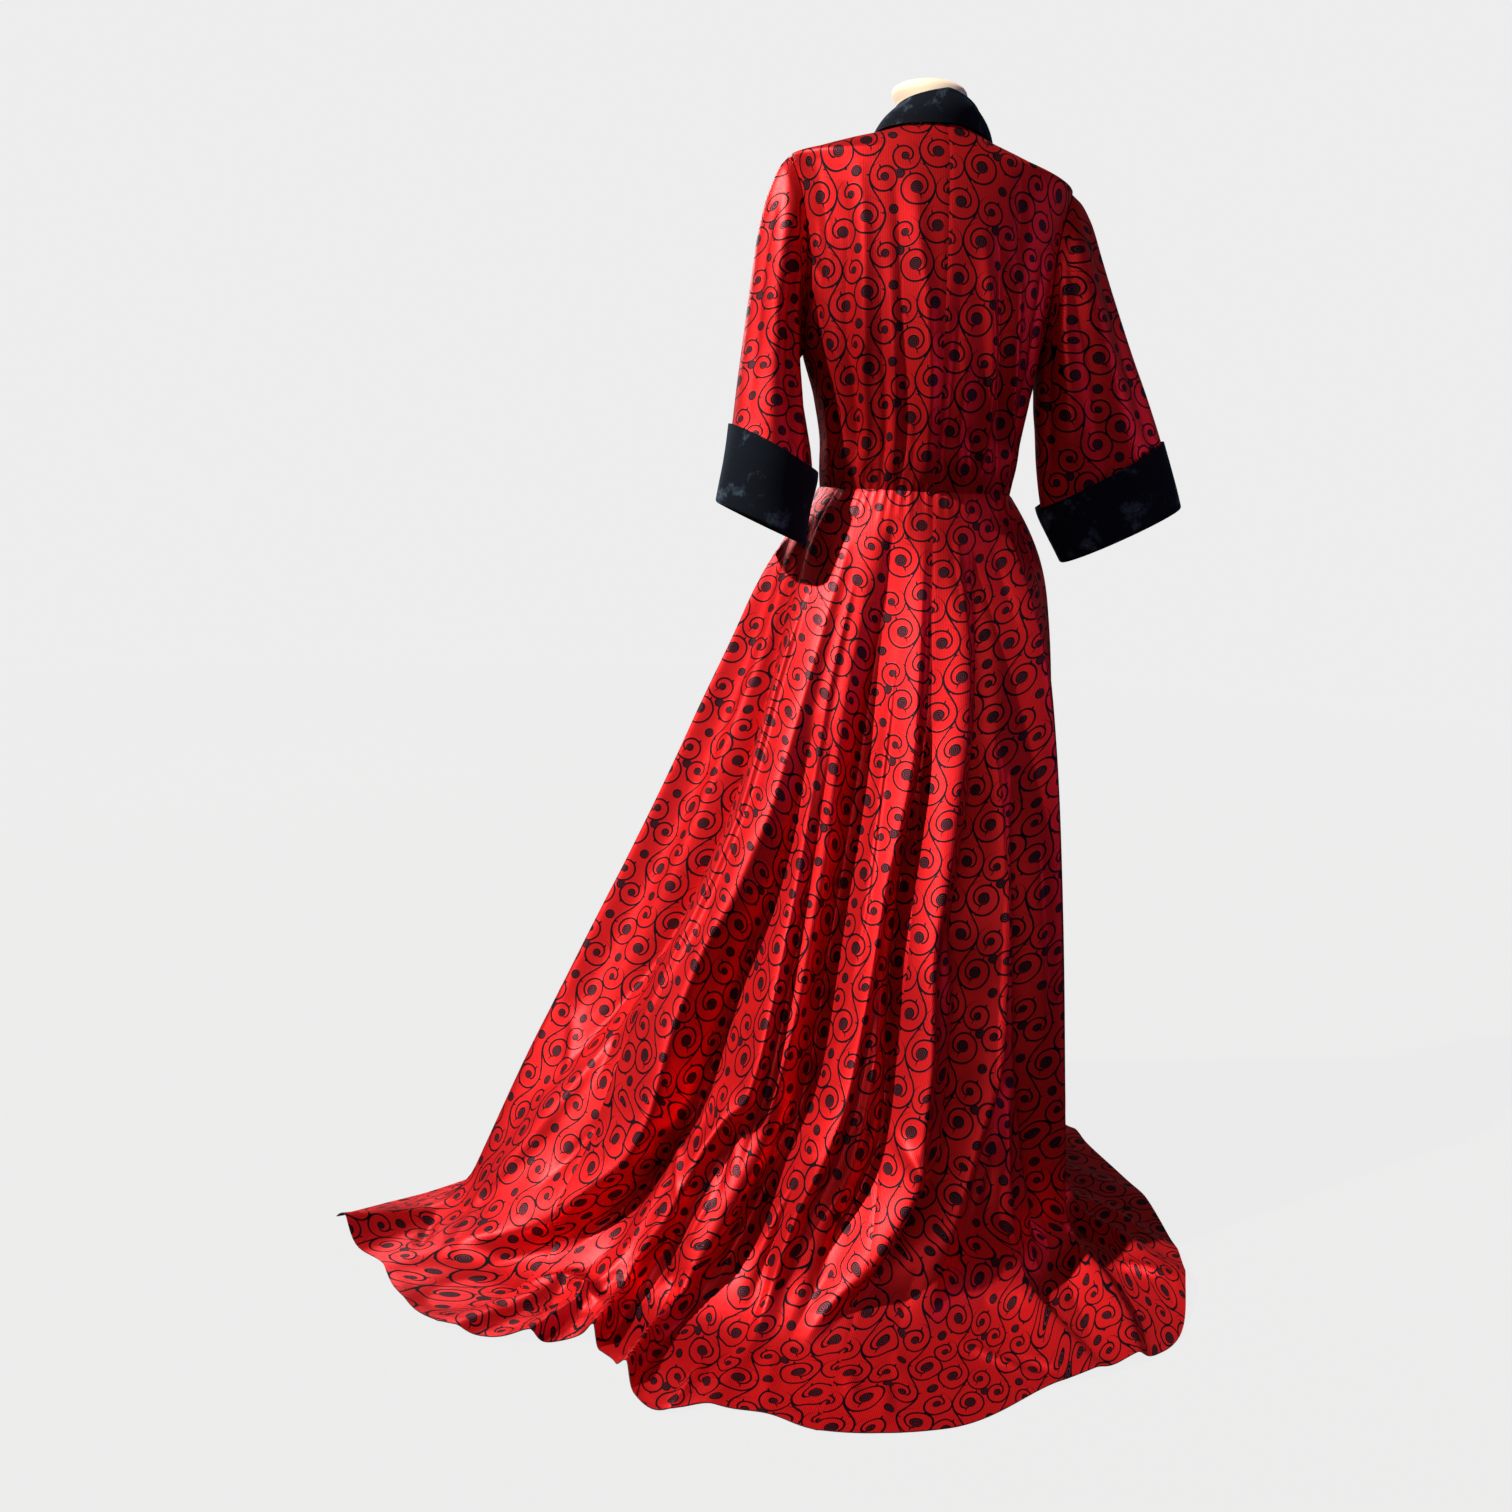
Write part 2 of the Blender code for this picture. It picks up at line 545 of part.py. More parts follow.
def finishMesh(name, mesh, material):
    bmesh.ops.recalc_face_normals(mesh, faces=mesh.faces)
    bmesh.ops.triangulate(mesh, faces=[face for face in mesh.faces if len(face.verts) > 3])
    data = bpy.data.meshes.new(name)
    mesh.to_mesh(data)
    mesh.free()
    data.shade_smooth()
    data.set_sharp_from_angle(angle=sharpAngle)
    data.materials.append(material)
    item = bpy.data.objects.new(name, data)
    bpy.context.scene.collection.objects.link(item)
    return item


def pullInEdges(points, outward, first, last):
    # Leaves half a seam gap free along the first and last columns, square to the seam
    for column, neighbour, pulled in ((0, 1, first), (-1, -2, last)):
        if pulled:
            along = np.gradient(points[column], axis=0)
            square = unit(np.cross(outward[column], along))
            inwards = np.sign(np.sum(square * (points[neighbour] - points[column]), axis=-1))
            points[column] += square * inwards[:, None] * seamGap / 2
    return points


def levelOut(outward, row):
    outward[:, row] = unit(outward[:, row] * np.array([1.0, 1.0, 0.0]))


def bodicePanel(name, side, front, columns, material):
    # Side is +1 for the wearer's left and -1 for the right
    level = np.array(bodiceRows)
    edge = armholeAngle(level)
    halfWidth = curveThrough(np.arange(len(bodiceLevels)), [row[0] for row in bodiceLevels], level)
    if front:
        lap = np.degrees(np.arcsin(lapWidth / 2 / halfWidth))
        across = np.linspace(0.0, 1.0, columns - 2)[:, None] ** shoulderCrowding
        toLap = 180.0 - edge + (edge - lap) * across
        angle = np.concatenate([toLap, [180.0 + 0 * lap, 180.0 + lap]])
    else:
        across = np.linspace(1.0, 0.0, columns)[:, None] ** shoulderCrowding
        angle = edge * (1 - across)
    signed = side * angle
    points = bodiceSurface(signed, level)
    outward = -slopesNormal(bodiceSurface, signed, level, levelStep)
    if front and side < 0:
        lapRise = lapStep * easeBetween(*bodiceLapRise, angle)
        points = points + outward * lapRise[..., None]
    points[:, 0, 2] = bodiceBottom
    levelOut(outward, 0)
    points = pullInEdges(points, outward, True, not front)
    return wallMesh(name, points, outward, clothWall, material)


def frontAngles(side, columns):
    # From the side front seam to the lap's edge beyond the centre front
    toLap = np.linspace(sideFrontSeam, 180.0 - skirtLap, columns - 2)
    return side * np.concatenate([toLap, [180.0, 180.0 + skirtLap]])


def skirtGore(name, angle, material, lapped=False):
    share = np.linspace(0.0, 1.0, skirtRowCount)
    angle, share = np.broadcast_arrays(angle[:, None], share[None, :])
    points = skirtSurface(angle, share)
    outward = slopesNormal(skirtSurface, angle, share, shareStep)
    if lapped:
        lapRise = lapStep * easeBetween(*skirtLapRise, np.abs(turnDifference(angle, 180.0)))
        points = points + outward * lapRise[..., None]
    points[:, 0, 2] = skirtTop
    levelOut(outward, 0)
    points = pullInEdges(points, outward, True, True)
    return wallMesh(name, points, outward, clothWall, material)


def buildSleeve(name, side, rings, material):
    turn = np.linspace(0.0, 360.0, sleeveTurns, endpoint=False)[:, None]
    ring = np.array(sleeveRows)[None, :]
    points = sleeveSurface(side, rings, turn, ring)
    outward = sleeveNormal(side, rings, turn, ring)
    return wallMesh(name, *mirrored(points, outward, side), clothWall, material, closedAround=True)


def buildCuff(name, side, rings, material):
    turn = np.linspace(0.0, 360.0, sleeveTurns, endpoint=False)[:, None]
    ring = np.linspace(cuffTopRing, len(rings) - 1, cuffRowCount)[None, :]
    turn, ring = np.broadcast_arrays(turn, ring)
    outward = sleeveNormal(side, rings, turn, ring)
    clear = clothWall / 2 + seamGap + velvetWall / 2
    flare = cuffFlare * (1 - (ring - cuffTopRing) / (len(rings) - 1 - cuffTopRing))
    points = sleeveSurface(side, rings, turn, ring) + outward * (clear + flare)[..., None]
    return wallMesh(name, *mirrored(points, outward, side), velvetWall, material, closedAround=True)


def sleeveNormal(side, rings, turn, ring):
    last = len(rings) - 1
    inside = np.clip(ring, levelStep, last - levelStep)
    after = sleeveSurface(side, rings, turn, inside + levelStep)
    before = sleeveSurface(side, rings, turn, inside - levelStep)
    across = sleeveSurface(side, rings, turn + sleeveTurnStep, inside)
    across = across - sleeveSurface(side, rings, turn - sleeveTurnStep, inside)
    return unit(np.cross(after - before, across))


def mirrored(points, outward, side):
    flip = np.array([side, 1.0, 1.0])
    return points * flip, outward * flip


def collarGrid():
    # Across the collar: up the stand, over the fold and down the fall, lying on the bodice
    angle = np.linspace(-collarEnd, collarEnd, collarColumns)
    away = np.abs(angle)
    stand = curveThrough(collarAngles, collarStand, away)
    lean = curveThrough(collarAngles, collarLean, away)
    edgeLevel = curveThrough(collarAngles, collarEdgeLevel, away)
    standOff = curveThrough(collarAngles, collarStandOff, away)
    seam = bodiceBase(angle, neckLevel)
    sideways = seam - np.array([0.0, collarCentre, 0.0])
    sideways[:, 2] = 0.0
    sideways = unit(sideways)
    up = np.array([0.0, 0.0, 1.0])
    foot = seam + up * collarFootGap
    foldMiddle = foot + up * (stand - collarFoldRadius)[:, None]
    foldMiddle = foldMiddle + sideways * (collarFoldRadius - lean)[:, None]
    edge = bodiceBase(angle, edgeLevel)
    edgeOut = -slopesNormal(bodiceBase, angle, edgeLevel, levelStep)
    edge = edge + edgeOut * standOff[:, None]
    rows = [foot, (foot + foldMiddle - sideways * collarFoldRadius) / 2]
    for turn in np.radians(collarFoldTurns):
        arc = sideways * math.cos(turn) + up * math.sin(turn)
        rows.append(foldMiddle + arc * collarFoldRadius)
    fallTop = rows[-1]
    belly = (sideways + up * 0.5) * collarBelly
    for share in collarFallShares:
        rows.append(fallTop + (edge - fallTop) * share + belly * math.sin(math.pi * share))
    rows.append(edge)
    return np.stack(rows, axis=1)


def buildCollar(material):
    points = collarGrid()
    outward = gridNormals(points)
    return wallMesh("velvet_collar", points, outward, velvetWall, material)


def buildForm(material):
    # Closed torso with neck, from rings of reach: the bodice's own sections, drawn in
    count = formTurns
    angle = np.linspace(0.0, 360.0, count, endpoint=False)
    rings = []
    for halfWidth, backReach, frontReach, height in formLowerRings:
        rings.append(ringPoint(angle, (halfWidth, backReach, frontReach, 0.0, height, height, height)))
    for level in formLevels:
        shoulder = np.abs(np.abs(turnDifference(angle, 0.0)) - 90.0)
        rests = easeBetween(*shoulderRestAngles, shoulder) * easeBetween(*shoulderRestLevels, level)
        inset = formClearance + (shoulderClearance - formClearance) * rests
        outward = -slopesNormal(bodiceBase, angle, level, levelStep)
        rings.append(bodiceBase(angle, level) - outward * inset[:, None])
    for halfWidth, backReach, frontReach, middleX, middleY, height in formNeckRings:
        ring = ringPoint(angle, (halfWidth, backReach, frontReach, 0.0, height, height, height))
        rings.append(ring + np.array([middleX, middleY, 0.0]))
    mesh = bmesh.new()
    grid = [[mesh.verts.new(point) for point in ring] for ring in rings]
    for lower, upper in zip(grid, grid[1:]):
        for i in range(count):
            after = (i + 1) % count
            mesh.faces.new((lower[i], lower[after], upper[after], upper[i]))
    mesh.faces.new(grid[0])
    crown = mesh.verts.new((formNeckRings[-1][3], formNeckRings[-1][4], formTop))
    for i in range(count):
        mesh.faces.new((grid[-1][i], grid[-1][(i + 1) % count], crown))
    return finishMesh("dress_form", mesh, material)


def buildPole(material):
    low = baseThickness + seamGap
    high = formBottom - seamGap
    mesh = bmesh.new()
    bmesh.ops.create_cone(mesh, cap_ends=True, segments=poleSides, radius1=poleRadius, radius2=poleRadius,
                          depth=high - low)
    bmesh.ops.translate(mesh, verts=mesh.verts, vec=(0.0, 0.0, (low + high) / 2))
    return finishMesh("stand_pole", mesh, material)


def buildBase(material):
    mesh = bmesh.new()
    bmesh.ops.create_cone(mesh, cap_ends=True, segments=baseSides, radius1=baseRadius, radius2=baseRadius,
                          depth=baseThickness)
    bmesh.ops.translate(mesh, verts=mesh.verts, vec=(0.0, 0.0, baseThickness / 2))
    rim = [edge for edge in mesh.edges if all(vert.co.z > baseThickness / 2 for vert in edge.verts)]
    bmesh.ops.bevel(mesh, geom=rim, offset=baseEdgeRound, segments=2, affect="EDGES")
    return finishMesh("stand_base", mesh, material)


def buildButton(index, level, material):
    point = bodiceSurface(180.0, level)
    outward = -slopesNormal(bodiceSurface, 180.0, level, levelStep)
    off = lapStep + clothWall / 2 + buttonGap + buttonThickness / 2
    name = "front_button_%d" % (index + 1)
    mesh = bmesh.new()
    bmesh.ops.create_cone(mesh, cap_ends=True, segments=buttonSides, radius1=buttonRadius,
                          radius2=buttonRadius, depth=buttonThickness)
    rim = [edge for edge in mesh.edges if all(vert.co.z > 0 for vert in edge.verts)]
    bmesh.ops.bevel(mesh, geom=rim, offset=buttonEdgeRound, segments=1, affect="EDGES")
    item = finishMesh(name, mesh, material)
    item.location = point + outward * off
    item.rotation_mode = "QUATERNION"
    item.rotation_quaternion = Vector(outward).to_track_quat("Z", "Y")
    return item


def buildGown():
    brocade = makeMaterial("red_brocade", brocadeLook)
    velvet = makeMaterial("black_velvet", velvetLook)
    for name, side in (("left", 1), ("right", -1)):
        bodicePanel("back_bodice_" + name, side, False, backColumns, brocade)
        bodicePanel("front_bodice_" + name, side, True, frontColumns, brocade)
    skirtGore("back_skirt_left", np.linspace(0.0, sideBackSeam, backLeftColumns), brocade)
    skirtGore("back_skirt_right", np.linspace(-sideBackSeam, 0.0, backRightColumns), brocade)
    skirtGore("side_skirt_left", np.linspace(sideBackSeam, sideFrontSeam, sideLeftColumns), brocade)
    skirtGore("side_skirt_right", np.linspace(-sideFrontSeam, -sideBackSeam, sideRightColumns), brocade)
    skirtGore("front_skirt_left", frontAngles(1, frontSkirtColumns), brocade)
    skirtGore("front_skirt_right", frontAngles(-1, frontSkirtColumns)[::-1], brocade, lapped=True)
    for name, side, rings in (("left", 1, leftSleeveRings), ("right", -1, rightSleeveRings)):
        buildSleeve("sleeve_" + name, side, rings, brocade)
        buildCuff("velvet_cuff_" + name, side, rings, velvet)
    buildCollar(velvet)
    for index, level in enumerate(buttonLevels):
        buildButton(index, level, velvet)


def buildStand():
    cream = makeMaterial("cream_form", formLook)
    metal = makeMaterial("black_metal", metalLook)
    buildForm(cream)
    buildPole(metal)
    buildBase(metal)


clearScene()
buildStand()
buildGown()
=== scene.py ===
import math
from functools import partial

import bpy
import numpy as np
from mathutils import Matrix, Vector


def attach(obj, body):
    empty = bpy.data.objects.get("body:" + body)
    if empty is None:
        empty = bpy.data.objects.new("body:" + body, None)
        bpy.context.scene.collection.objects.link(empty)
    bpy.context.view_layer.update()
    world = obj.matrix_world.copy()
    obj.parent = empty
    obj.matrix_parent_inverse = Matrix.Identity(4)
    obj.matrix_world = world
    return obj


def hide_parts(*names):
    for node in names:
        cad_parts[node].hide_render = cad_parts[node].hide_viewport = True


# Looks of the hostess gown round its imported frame: a red satin brocade gown with velvet
# collar and cuffs on a jersey dress form. Metres, in the row's own frame: the back of the
# gown faces +Y, the wearer's left is +X. Directions round the body are counted from the
# centre back (0) over the wearer's left side (90) to the centre front (180). Heights and
# half widths in the tables of folds are in millimetres, unless a note says degrees.

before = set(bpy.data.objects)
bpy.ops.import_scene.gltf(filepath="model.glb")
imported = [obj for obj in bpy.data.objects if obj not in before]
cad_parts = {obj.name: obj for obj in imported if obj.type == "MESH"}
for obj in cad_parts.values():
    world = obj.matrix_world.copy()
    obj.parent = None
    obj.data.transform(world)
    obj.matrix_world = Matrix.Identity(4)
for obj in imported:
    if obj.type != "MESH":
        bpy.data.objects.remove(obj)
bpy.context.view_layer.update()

# Helpers that every piece uses

millimetre = 0.001
mergeDistance = 0.00001
clothSmoothAngle = math.radians(55)
skinSmoothAngle = math.radians(60)
probeTurn = 0.25
probeStep = 0.02


def easeBetween(low, high, value):
    t = np.clip((np.asarray(value, float) - low) / (high - low), 0.0, 1.0)
    return t * t * (3 - 2 * t)


def unit(vectors):
    return vectors / np.maximum(np.linalg.norm(vectors, axis=-1, keepdims=True), 1e-12)


def turnDifference(angle, centre):
    return (angle - centre + 180.0) % 360.0 - 180.0


def curveThrough(knots, values, at):
    # smooth curve through table values that never overshoots them
    knots = np.asarray(knots, float)
    values = np.asarray(values, float)
    at = np.clip(np.asarray(at, float), knots[0], knots[-1])
    spans = np.diff(knots)
    rises = np.diff(values) / spans
    slopes = np.zeros(len(knots))
    slopes[0] = rises[0]
    slopes[-1] = rises[-1]
    for i in range(1, len(knots) - 1):
        if rises[i - 1] * rises[i] > 0:
            before = 2 * spans[i] + spans[i - 1]
            after = spans[i] + 2 * spans[i - 1]
            slopes[i] = (before + after) / (before / rises[i - 1] + after / rises[i])
    index = np.clip(np.searchsorted(knots, at, side="right") - 1, 0, len(knots) - 2)
    span = spans[index]
    t = (at - knots[index]) / span
    start = values[index] * (1 + 2 * t) * (1 - t) ** 2
    end = values[index + 1] * t ** 2 * (3 - 2 * t)
    leave = slopes[index] * span * t * (1 - t) ** 2
    arrive = slopes[index + 1] * span * t ** 2 * (t - 1)
    return start + end + leave + arrive


def gridNormals(points, closed=False):
    # side of each point of a grid whose first axis runs round the body and second down it
    if closed:
        ring = points[:-1]
        across = (np.roll(ring, -1, axis=0) - np.roll(ring, 1, axis=0)) / 2
        across = np.concatenate([across, across[:1]])
    else:
        across = np.gradient(points, axis=0)
    return unit(np.cross(across, np.gradient(points, axis=1)))


def surfaceNormal(surface, angle, along, turnStep=probeTurn):
    # outward side of a surface that is given by a direction and a place down it
    angle, along = np.broadcast_arrays(np.asarray(angle, float), np.asarray(along, float))
    across = surface(angle + turnStep, along) - surface(angle - turnStep, along)
    down = surface(angle, along + probeStep) - surface(angle, along - probeStep)
    return unit(np.cross(down, across))


def arcLengths(points, axis):
    steps = np.linalg.norm(np.diff(points, axis=axis), axis=-1)
    start = np.zeros_like(np.take(steps, [0], axis=axis))
    return np.concatenate([start, np.cumsum(steps, axis=axis)], axis=axis)


def deselectAll():
    if bpy.context.object and bpy.context.object.mode != "OBJECT":
        bpy.ops.object.mode_set(mode="OBJECT")
    bpy.ops.object.select_all(action="DESELECT")


def applyModifier(item, kind, **settings):
    modifier = item.modifiers.new(kind, kind)
    for key, value in settings.items():
        setattr(modifier, key, value)
    bpy.context.view_layer.objects.active = item
    bpy.ops.object.modifier_apply(modifier=modifier.name)


def gridMesh(name, points):
    # a flat grid whose points are laid on a surface; returns it with each point's place
    across, down = points.shape[0] - 1, points.shape[1] - 1
    deselectAll()
    bpy.ops.mesh.primitive_grid_add(x_subdivisions=across, y_subdivisions=down, size=2)
    item = bpy.context.object
    item.name = name
    mesh = item.data
    mesh.name = name
    place = np.empty(len(mesh.vertices) * 3)
    mesh.vertices.foreach_get("co", place)
    place = place.reshape(-1, 3)
    column = np.rint((place[:, 0] + 1) / 2 * across).astype(int)
    row = np.rint((1 - place[:, 1]) / 2 * down).astype(int)
    mesh.vertices.foreach_set("co", points[column, row].ravel())
    mesh.update()
    return item, column, row


def mendFaces(merge, flip, settle=False):
    # merges the seam and the poles of a closed grid, turns its faces over, or turns all the
    # faces of a closed skin outwards
    bpy.ops.object.mode_set(mode="EDIT")
    bpy.ops.mesh.select_all(action="SELECT")
    if merge:
        bpy.ops.mesh.remove_doubles(threshold=mergeDistance)
    if flip:
        bpy.ops.mesh.flip_normals()
    if settle:
        bpy.ops.mesh.normals_make_consistent(inside=False)
    bpy.ops.object.mode_set(mode="OBJECT")


def layGrid(name, points, outward, flat, materials, thickness, closed=False):
    # a sheet with a wall. Material 0 is the outer side and 1 the inner side and the cut
    # edge; flat holds each point's place on the cloth
    item, column, row = gridMesh(name, points)
    mesh = item.data
    corner = np.empty(len(mesh.loops), int)
    mesh.loops.foreach_get("vertex_index", corner)
    cloth = mesh.uv_layers[0]
    cloth.name = "cloth"
    cloth.data.foreach_set("uv", flat[column[corner], row[corner]].ravel())
    facing = np.empty(len(mesh.vertices) * 3)
    mesh.vertices.foreach_get("normal", facing)
    mendFaces(closed, (facing.reshape(-1, 3) * outward[column, row]).sum() < 0)
    for material in materials:
        mesh.materials.append(material)
    applyModifier(item, "SOLIDIFY", thickness=thickness, offset=0.0, use_even_offset=False,
                  material_offset=1, material_offset_rim=1)
    bpy.ops.object.shade_smooth_by_angle(angle=clothSmoothAngle)
    return item


def standFor(piece, node):
    # rides on the one body and stands for its CAD node
    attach(piece, "root")
    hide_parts(node)


# Colours and the one tool that adds a node


def colour(hexCode):
    # sRGB hex to the linear colour that the shader wants
    parts = [int(hexCode[i:i + 2], 16) / 255 for i in (1, 3, 5)]
    return tuple(c / 12.92 if c <= 0.04045 else ((c + 0.055) / 1.055) ** 2.4 for c in parts) + (1.0,)


def feedNode(tree, node, feeds, named):
    # values or sockets go to the inputs in use, in turn or by their label without spaces
    inUse = [socket for socket in node.inputs if socket.enabled]
    pairs = list(zip(inUse, feeds))
    for label, value in named.items():
        pairs.append((next(s for s in inUse if s.name.replace(" ", "") == label), value))
    for socket, value in pairs:
        if isinstance(value, bpy.types.NodeSocket):
            tree.links.new(value, socket)
        else:
            socket.default_value = value


def addNode(tree, kind, *feeds, **named):
    # one node with its settings, which start with a small letter, and its links. Returns
    # the first output in use
    node = tree.nodes.new("ShaderNode" + kind)
    for key, value in named.items():
        if key[0].islower():
            setattr(node, key, value)
    feedNode(tree, node, feeds, {key: value for key, value in named.items() if key[0].isupper()})
    return next(socket for socket in node.outputs if socket.enabled)


def newMaterial(name):
    material = bpy.data.materials.new(name)
    material.use_nodes = True
    return material, partial(addNode, material.node_tree)


def setShader(material, **inputs):
    tree = material.node_tree
    feedNode(tree, tree.nodes["Principled BSDF"], (), inputs)
    return material


# Satin brocade: dyed red silk-like filament satin, so it has a strong, tinted sheen.
# The scrolls are a dull near-black weft figure. The figure is a generic scrolling vine,
# charted in centimetres of cloth, and it repeats every 115 x 86 mm, mirrored at
# the centre back.

brocade = {
    "repeat": (11.5, 8.6),
    "mirrorDrop": 2.9,
    "lineWidth": 0.118,
    "edgeSoftness": 0.055,
    "armEase": 1.7,
    "armStart": 0.02,
    "armOverrun": 0.05,
    "vineSwing": 0.9,
    "thornReach": 0.4,
    "thornLean": 0.06,
    "armThornSharpness": 18.0,
    "armThornShift": 0.35,
    "vineThornSharpness": 36.0,
    "ringSpacing": 0.21,
    "ringFineness": 7.0,
    "ringMargin": 0.1,
    "ground": "#f0262a",
    "groundDeep": "#d01a24",
    "figure": "#0d0a15",
    "figureLight": "#8e3a48",
    "reverse": "#15121b",
    "reverseFigure": "#5c141c",
    "ribSpacing": 0.19,
    # painted shade of the ribs: how dark the cloth is painted in the grooves between ribs, and how far it
    # lightens towards their crests
    "ribDarkest": 0.64,
    "ribRange": 0.42,
    "roughness": 0.42,
    "figureRoughness": 0.08,
    # clouds and threads to a metre: clouds of 110 mm, threads of 1.1 mm across and 4 mm long
    "clouds": 9.0,
    "threads": (900.0, 900.0, 250.0),
    "ribRelief": 0.55,
    "figureRelief": 0.7,
}
# vines: mean place across, and the place down where the vine swings furthest to the left
brocadeVines = (
    (2.6, 0.0),
    (8.35, 3.0),
)
# spirals: across, down, outer radius, side on which the arm meets its vine in turns, way
# it winds, radius of the filled middle, turns of the arm
brocadeSpirals = (
    (3.85, 0.0, 2.15, 0.50, 1, 0.73, 1.20),
    (1.35, 4.3, 2.15, 0.00, -1, 0.70, 1.15),
    (5.14, 5.0, 1.75, 0.47, 1, 0.48, 1.10),
    (9.60, 3.0, 2.15, 0.50, 1, 0.75, 1.22),
    (7.50, 7.3, 1.75, 0.00, -1, 0.50, 1.10),
    (11.45, 0.3, 1.70, 0.02, -1, 0.46, 1.05),
)
# round rosettes: across, down, radius
brocadeRosettes = (
    (5.75, 6.95, 0.58),
    (10.75, 6.5, 0.62),
    (6.5, 2.3, 0.58),
)


def brocadeFigure(add):
    # returns the figure's mask, 1 on the dark scrolls, the mask of the fine light lines
    # inside it, and the place across the cloth in centimetres
    centimetres = add("VectorMath", add("UVMap", uv_map="cloth"), 100.0, operation="SCALE")
    acrossCloth, downCloth = add("SeparateXYZ", centimetres).node.outputs[:2]
    mirrored = add("Math", acrossCloth, operation="ABSOLUTE")
    onRight = add("Math", acrossCloth, 0.0, operation="LESS_THAN")
    down = add("Math", onRight, brocade["mirrorDrop"], downCloth, operation="MULTIPLY_ADD")
    place = add("CombineXYZ", mirrored, down)
    width, height = brocade["repeat"]
    soft = brocade["edgeSoftness"]
    masks = {"dark": None, "light": None}

    def addMask(kind, mask):
        known = masks[kind]
        masks[kind] = mask if known is None else add("Math", known, mask, operation="MAXIMUM")

    def inside(distance, limit):
        return add("Math", distance, -1 / soft, limit / soft + 0.5, operation="MULTIPLY_ADD", use_clamp=True)

    def drawLine(offset, along, sharpness):
        # a line with thorns on its positive side, leaning along it, where along is whole
        leaning = add("Math", offset, brocade["thornLean"], along, operation="MULTIPLY_ADD")
        thorn = add("Math", leaning, 0.5, operation="PINGPONG")
        spike = add("Math", thorn, -sharpness, 1.0, operation="MULTIPLY_ADD", use_clamp=True)
        spike = add("Math", spike, add("Math", offset, 0.0, operation="GREATER_THAN"), operation="MULTIPLY")
        limit = add("Math", spike, brocade["thornReach"], brocade["lineWidth"], operation="MULTIPLY_ADD")
        gap = add("Math", limit, add("Math", offset, operation="ABSOLUTE"), operation="SUBTRACT")
        return add("Math", gap, 1 / soft, 0.5, operation="MULTIPLY_ADD", use_clamp=True)

    def around(across, along):
        # distance from a place of the repeat, and the turn round it
        high = (across + width / 2, along + height / 2, 1)
        low = (across - width / 2, along - height / 2, -1)
        wrapped = add("VectorMath", place, high, low, operation="WRAP")
        away = add("VectorMath", wrapped, (across, along, 0), operation="SUBTRACT")
        awayAcross, awayDown = add("SeparateXYZ", away).node.outputs[:2]
        turn = add("Math", awayDown, awayAcross, operation="ARCTAN2")
        return add("VectorMath", away, operation="LENGTH"), turn

    def addRosette(reach, turn, radius):
        coil = add("Math", turn, 1 / math.tau, operation="MULTIPLY")
        rings = add("Math", reach, 1 / brocade["ringSpacing"], coil, operation="MULTIPLY_ADD")
        ripple = add("Math", rings, 0.5, operation="PINGPONG")
        fine = add("Math", ripple, -brocade["ringFineness"], 1.0, operation="MULTIPLY_ADD", use_clamp=True)
        middle = inside(reach, radius - brocade["ringMargin"])
        addMask("dark", inside(reach, radius))
        addMask("light", add("Math", middle, fine, operation="MULTIPLY"))

    def addSpiral(across, along, radius, meets, way, core, turns):
        # the arm leaves the filled middle fast and then runs slowly out to meet the vine
        reach, turn = around(across, along)
        ease = brocade["armEase"]
        span = radius - core
        share = add("Math", reach, 1 / span, -core / span, operation="MULTIPLY_ADD")
        share = add("Math", share, brocade["armStart"], operation="MAXIMUM")
        coil = add("Math", turn, -way / math.tau, way * meets - turns, operation="MULTIPLY_ADD")
        eased = add("Math", share, ease, operation="POWER")
        winding = add("Math", eased, turns, coil, operation="MULTIPLY_ADD")
        away = add("Math", winding, 0.5, -0.5, operation="WRAP")
        slope = add("Math", share, ease - 1, operation="POWER")
        growth = add("Math", span / (turns * ease), slope, operation="DIVIDE")
        offset = add("Math", away, growth, operation="MULTIPLY")
        firstThorn = 2 * meets + brocade["armThornShift"]
        thorns = add("Math", turn, 2 / math.tau, firstThorn, operation="MULTIPLY_ADD")
        arm = drawLine(offset, thorns, brocade["armThornSharpness"] * radius)
        addMask("dark", add("Math", arm, inside(reach, radius + brocade["armOverrun"]), operation="MULTIPLY"))
        addRosette(reach, turn, core)

    for spiral in brocadeSpirals:
        addSpiral(*spiral)
    for across, along, radius in brocadeRosettes:
        addRosette(*around(across, along), radius)
    for mean, turningPoint in brocadeVines:
        phase = math.pi / 2 + math.tau * turningPoint / height
        wave = add("Math", down, math.tau / height, -phase, operation="MULTIPLY_ADD")
        swing = add("Math", wave, operation="SINE")
        middle = add("Math", swing, brocade["vineSwing"], mean, operation="MULTIPLY_ADD")
        offset = add("Math", mirrored, middle, operation="SUBTRACT")
        offset = add("Math", offset, width / 2, -width / 2, operation="WRAP")
        thorns = add("Math", down, 2 / height, mean, operation="MULTIPLY_ADD")
        addMask("dark", drawLine(offset, thorns, brocade["vineThornSharpness"]))
    return masks["dark"], masks["light"], acrossCloth


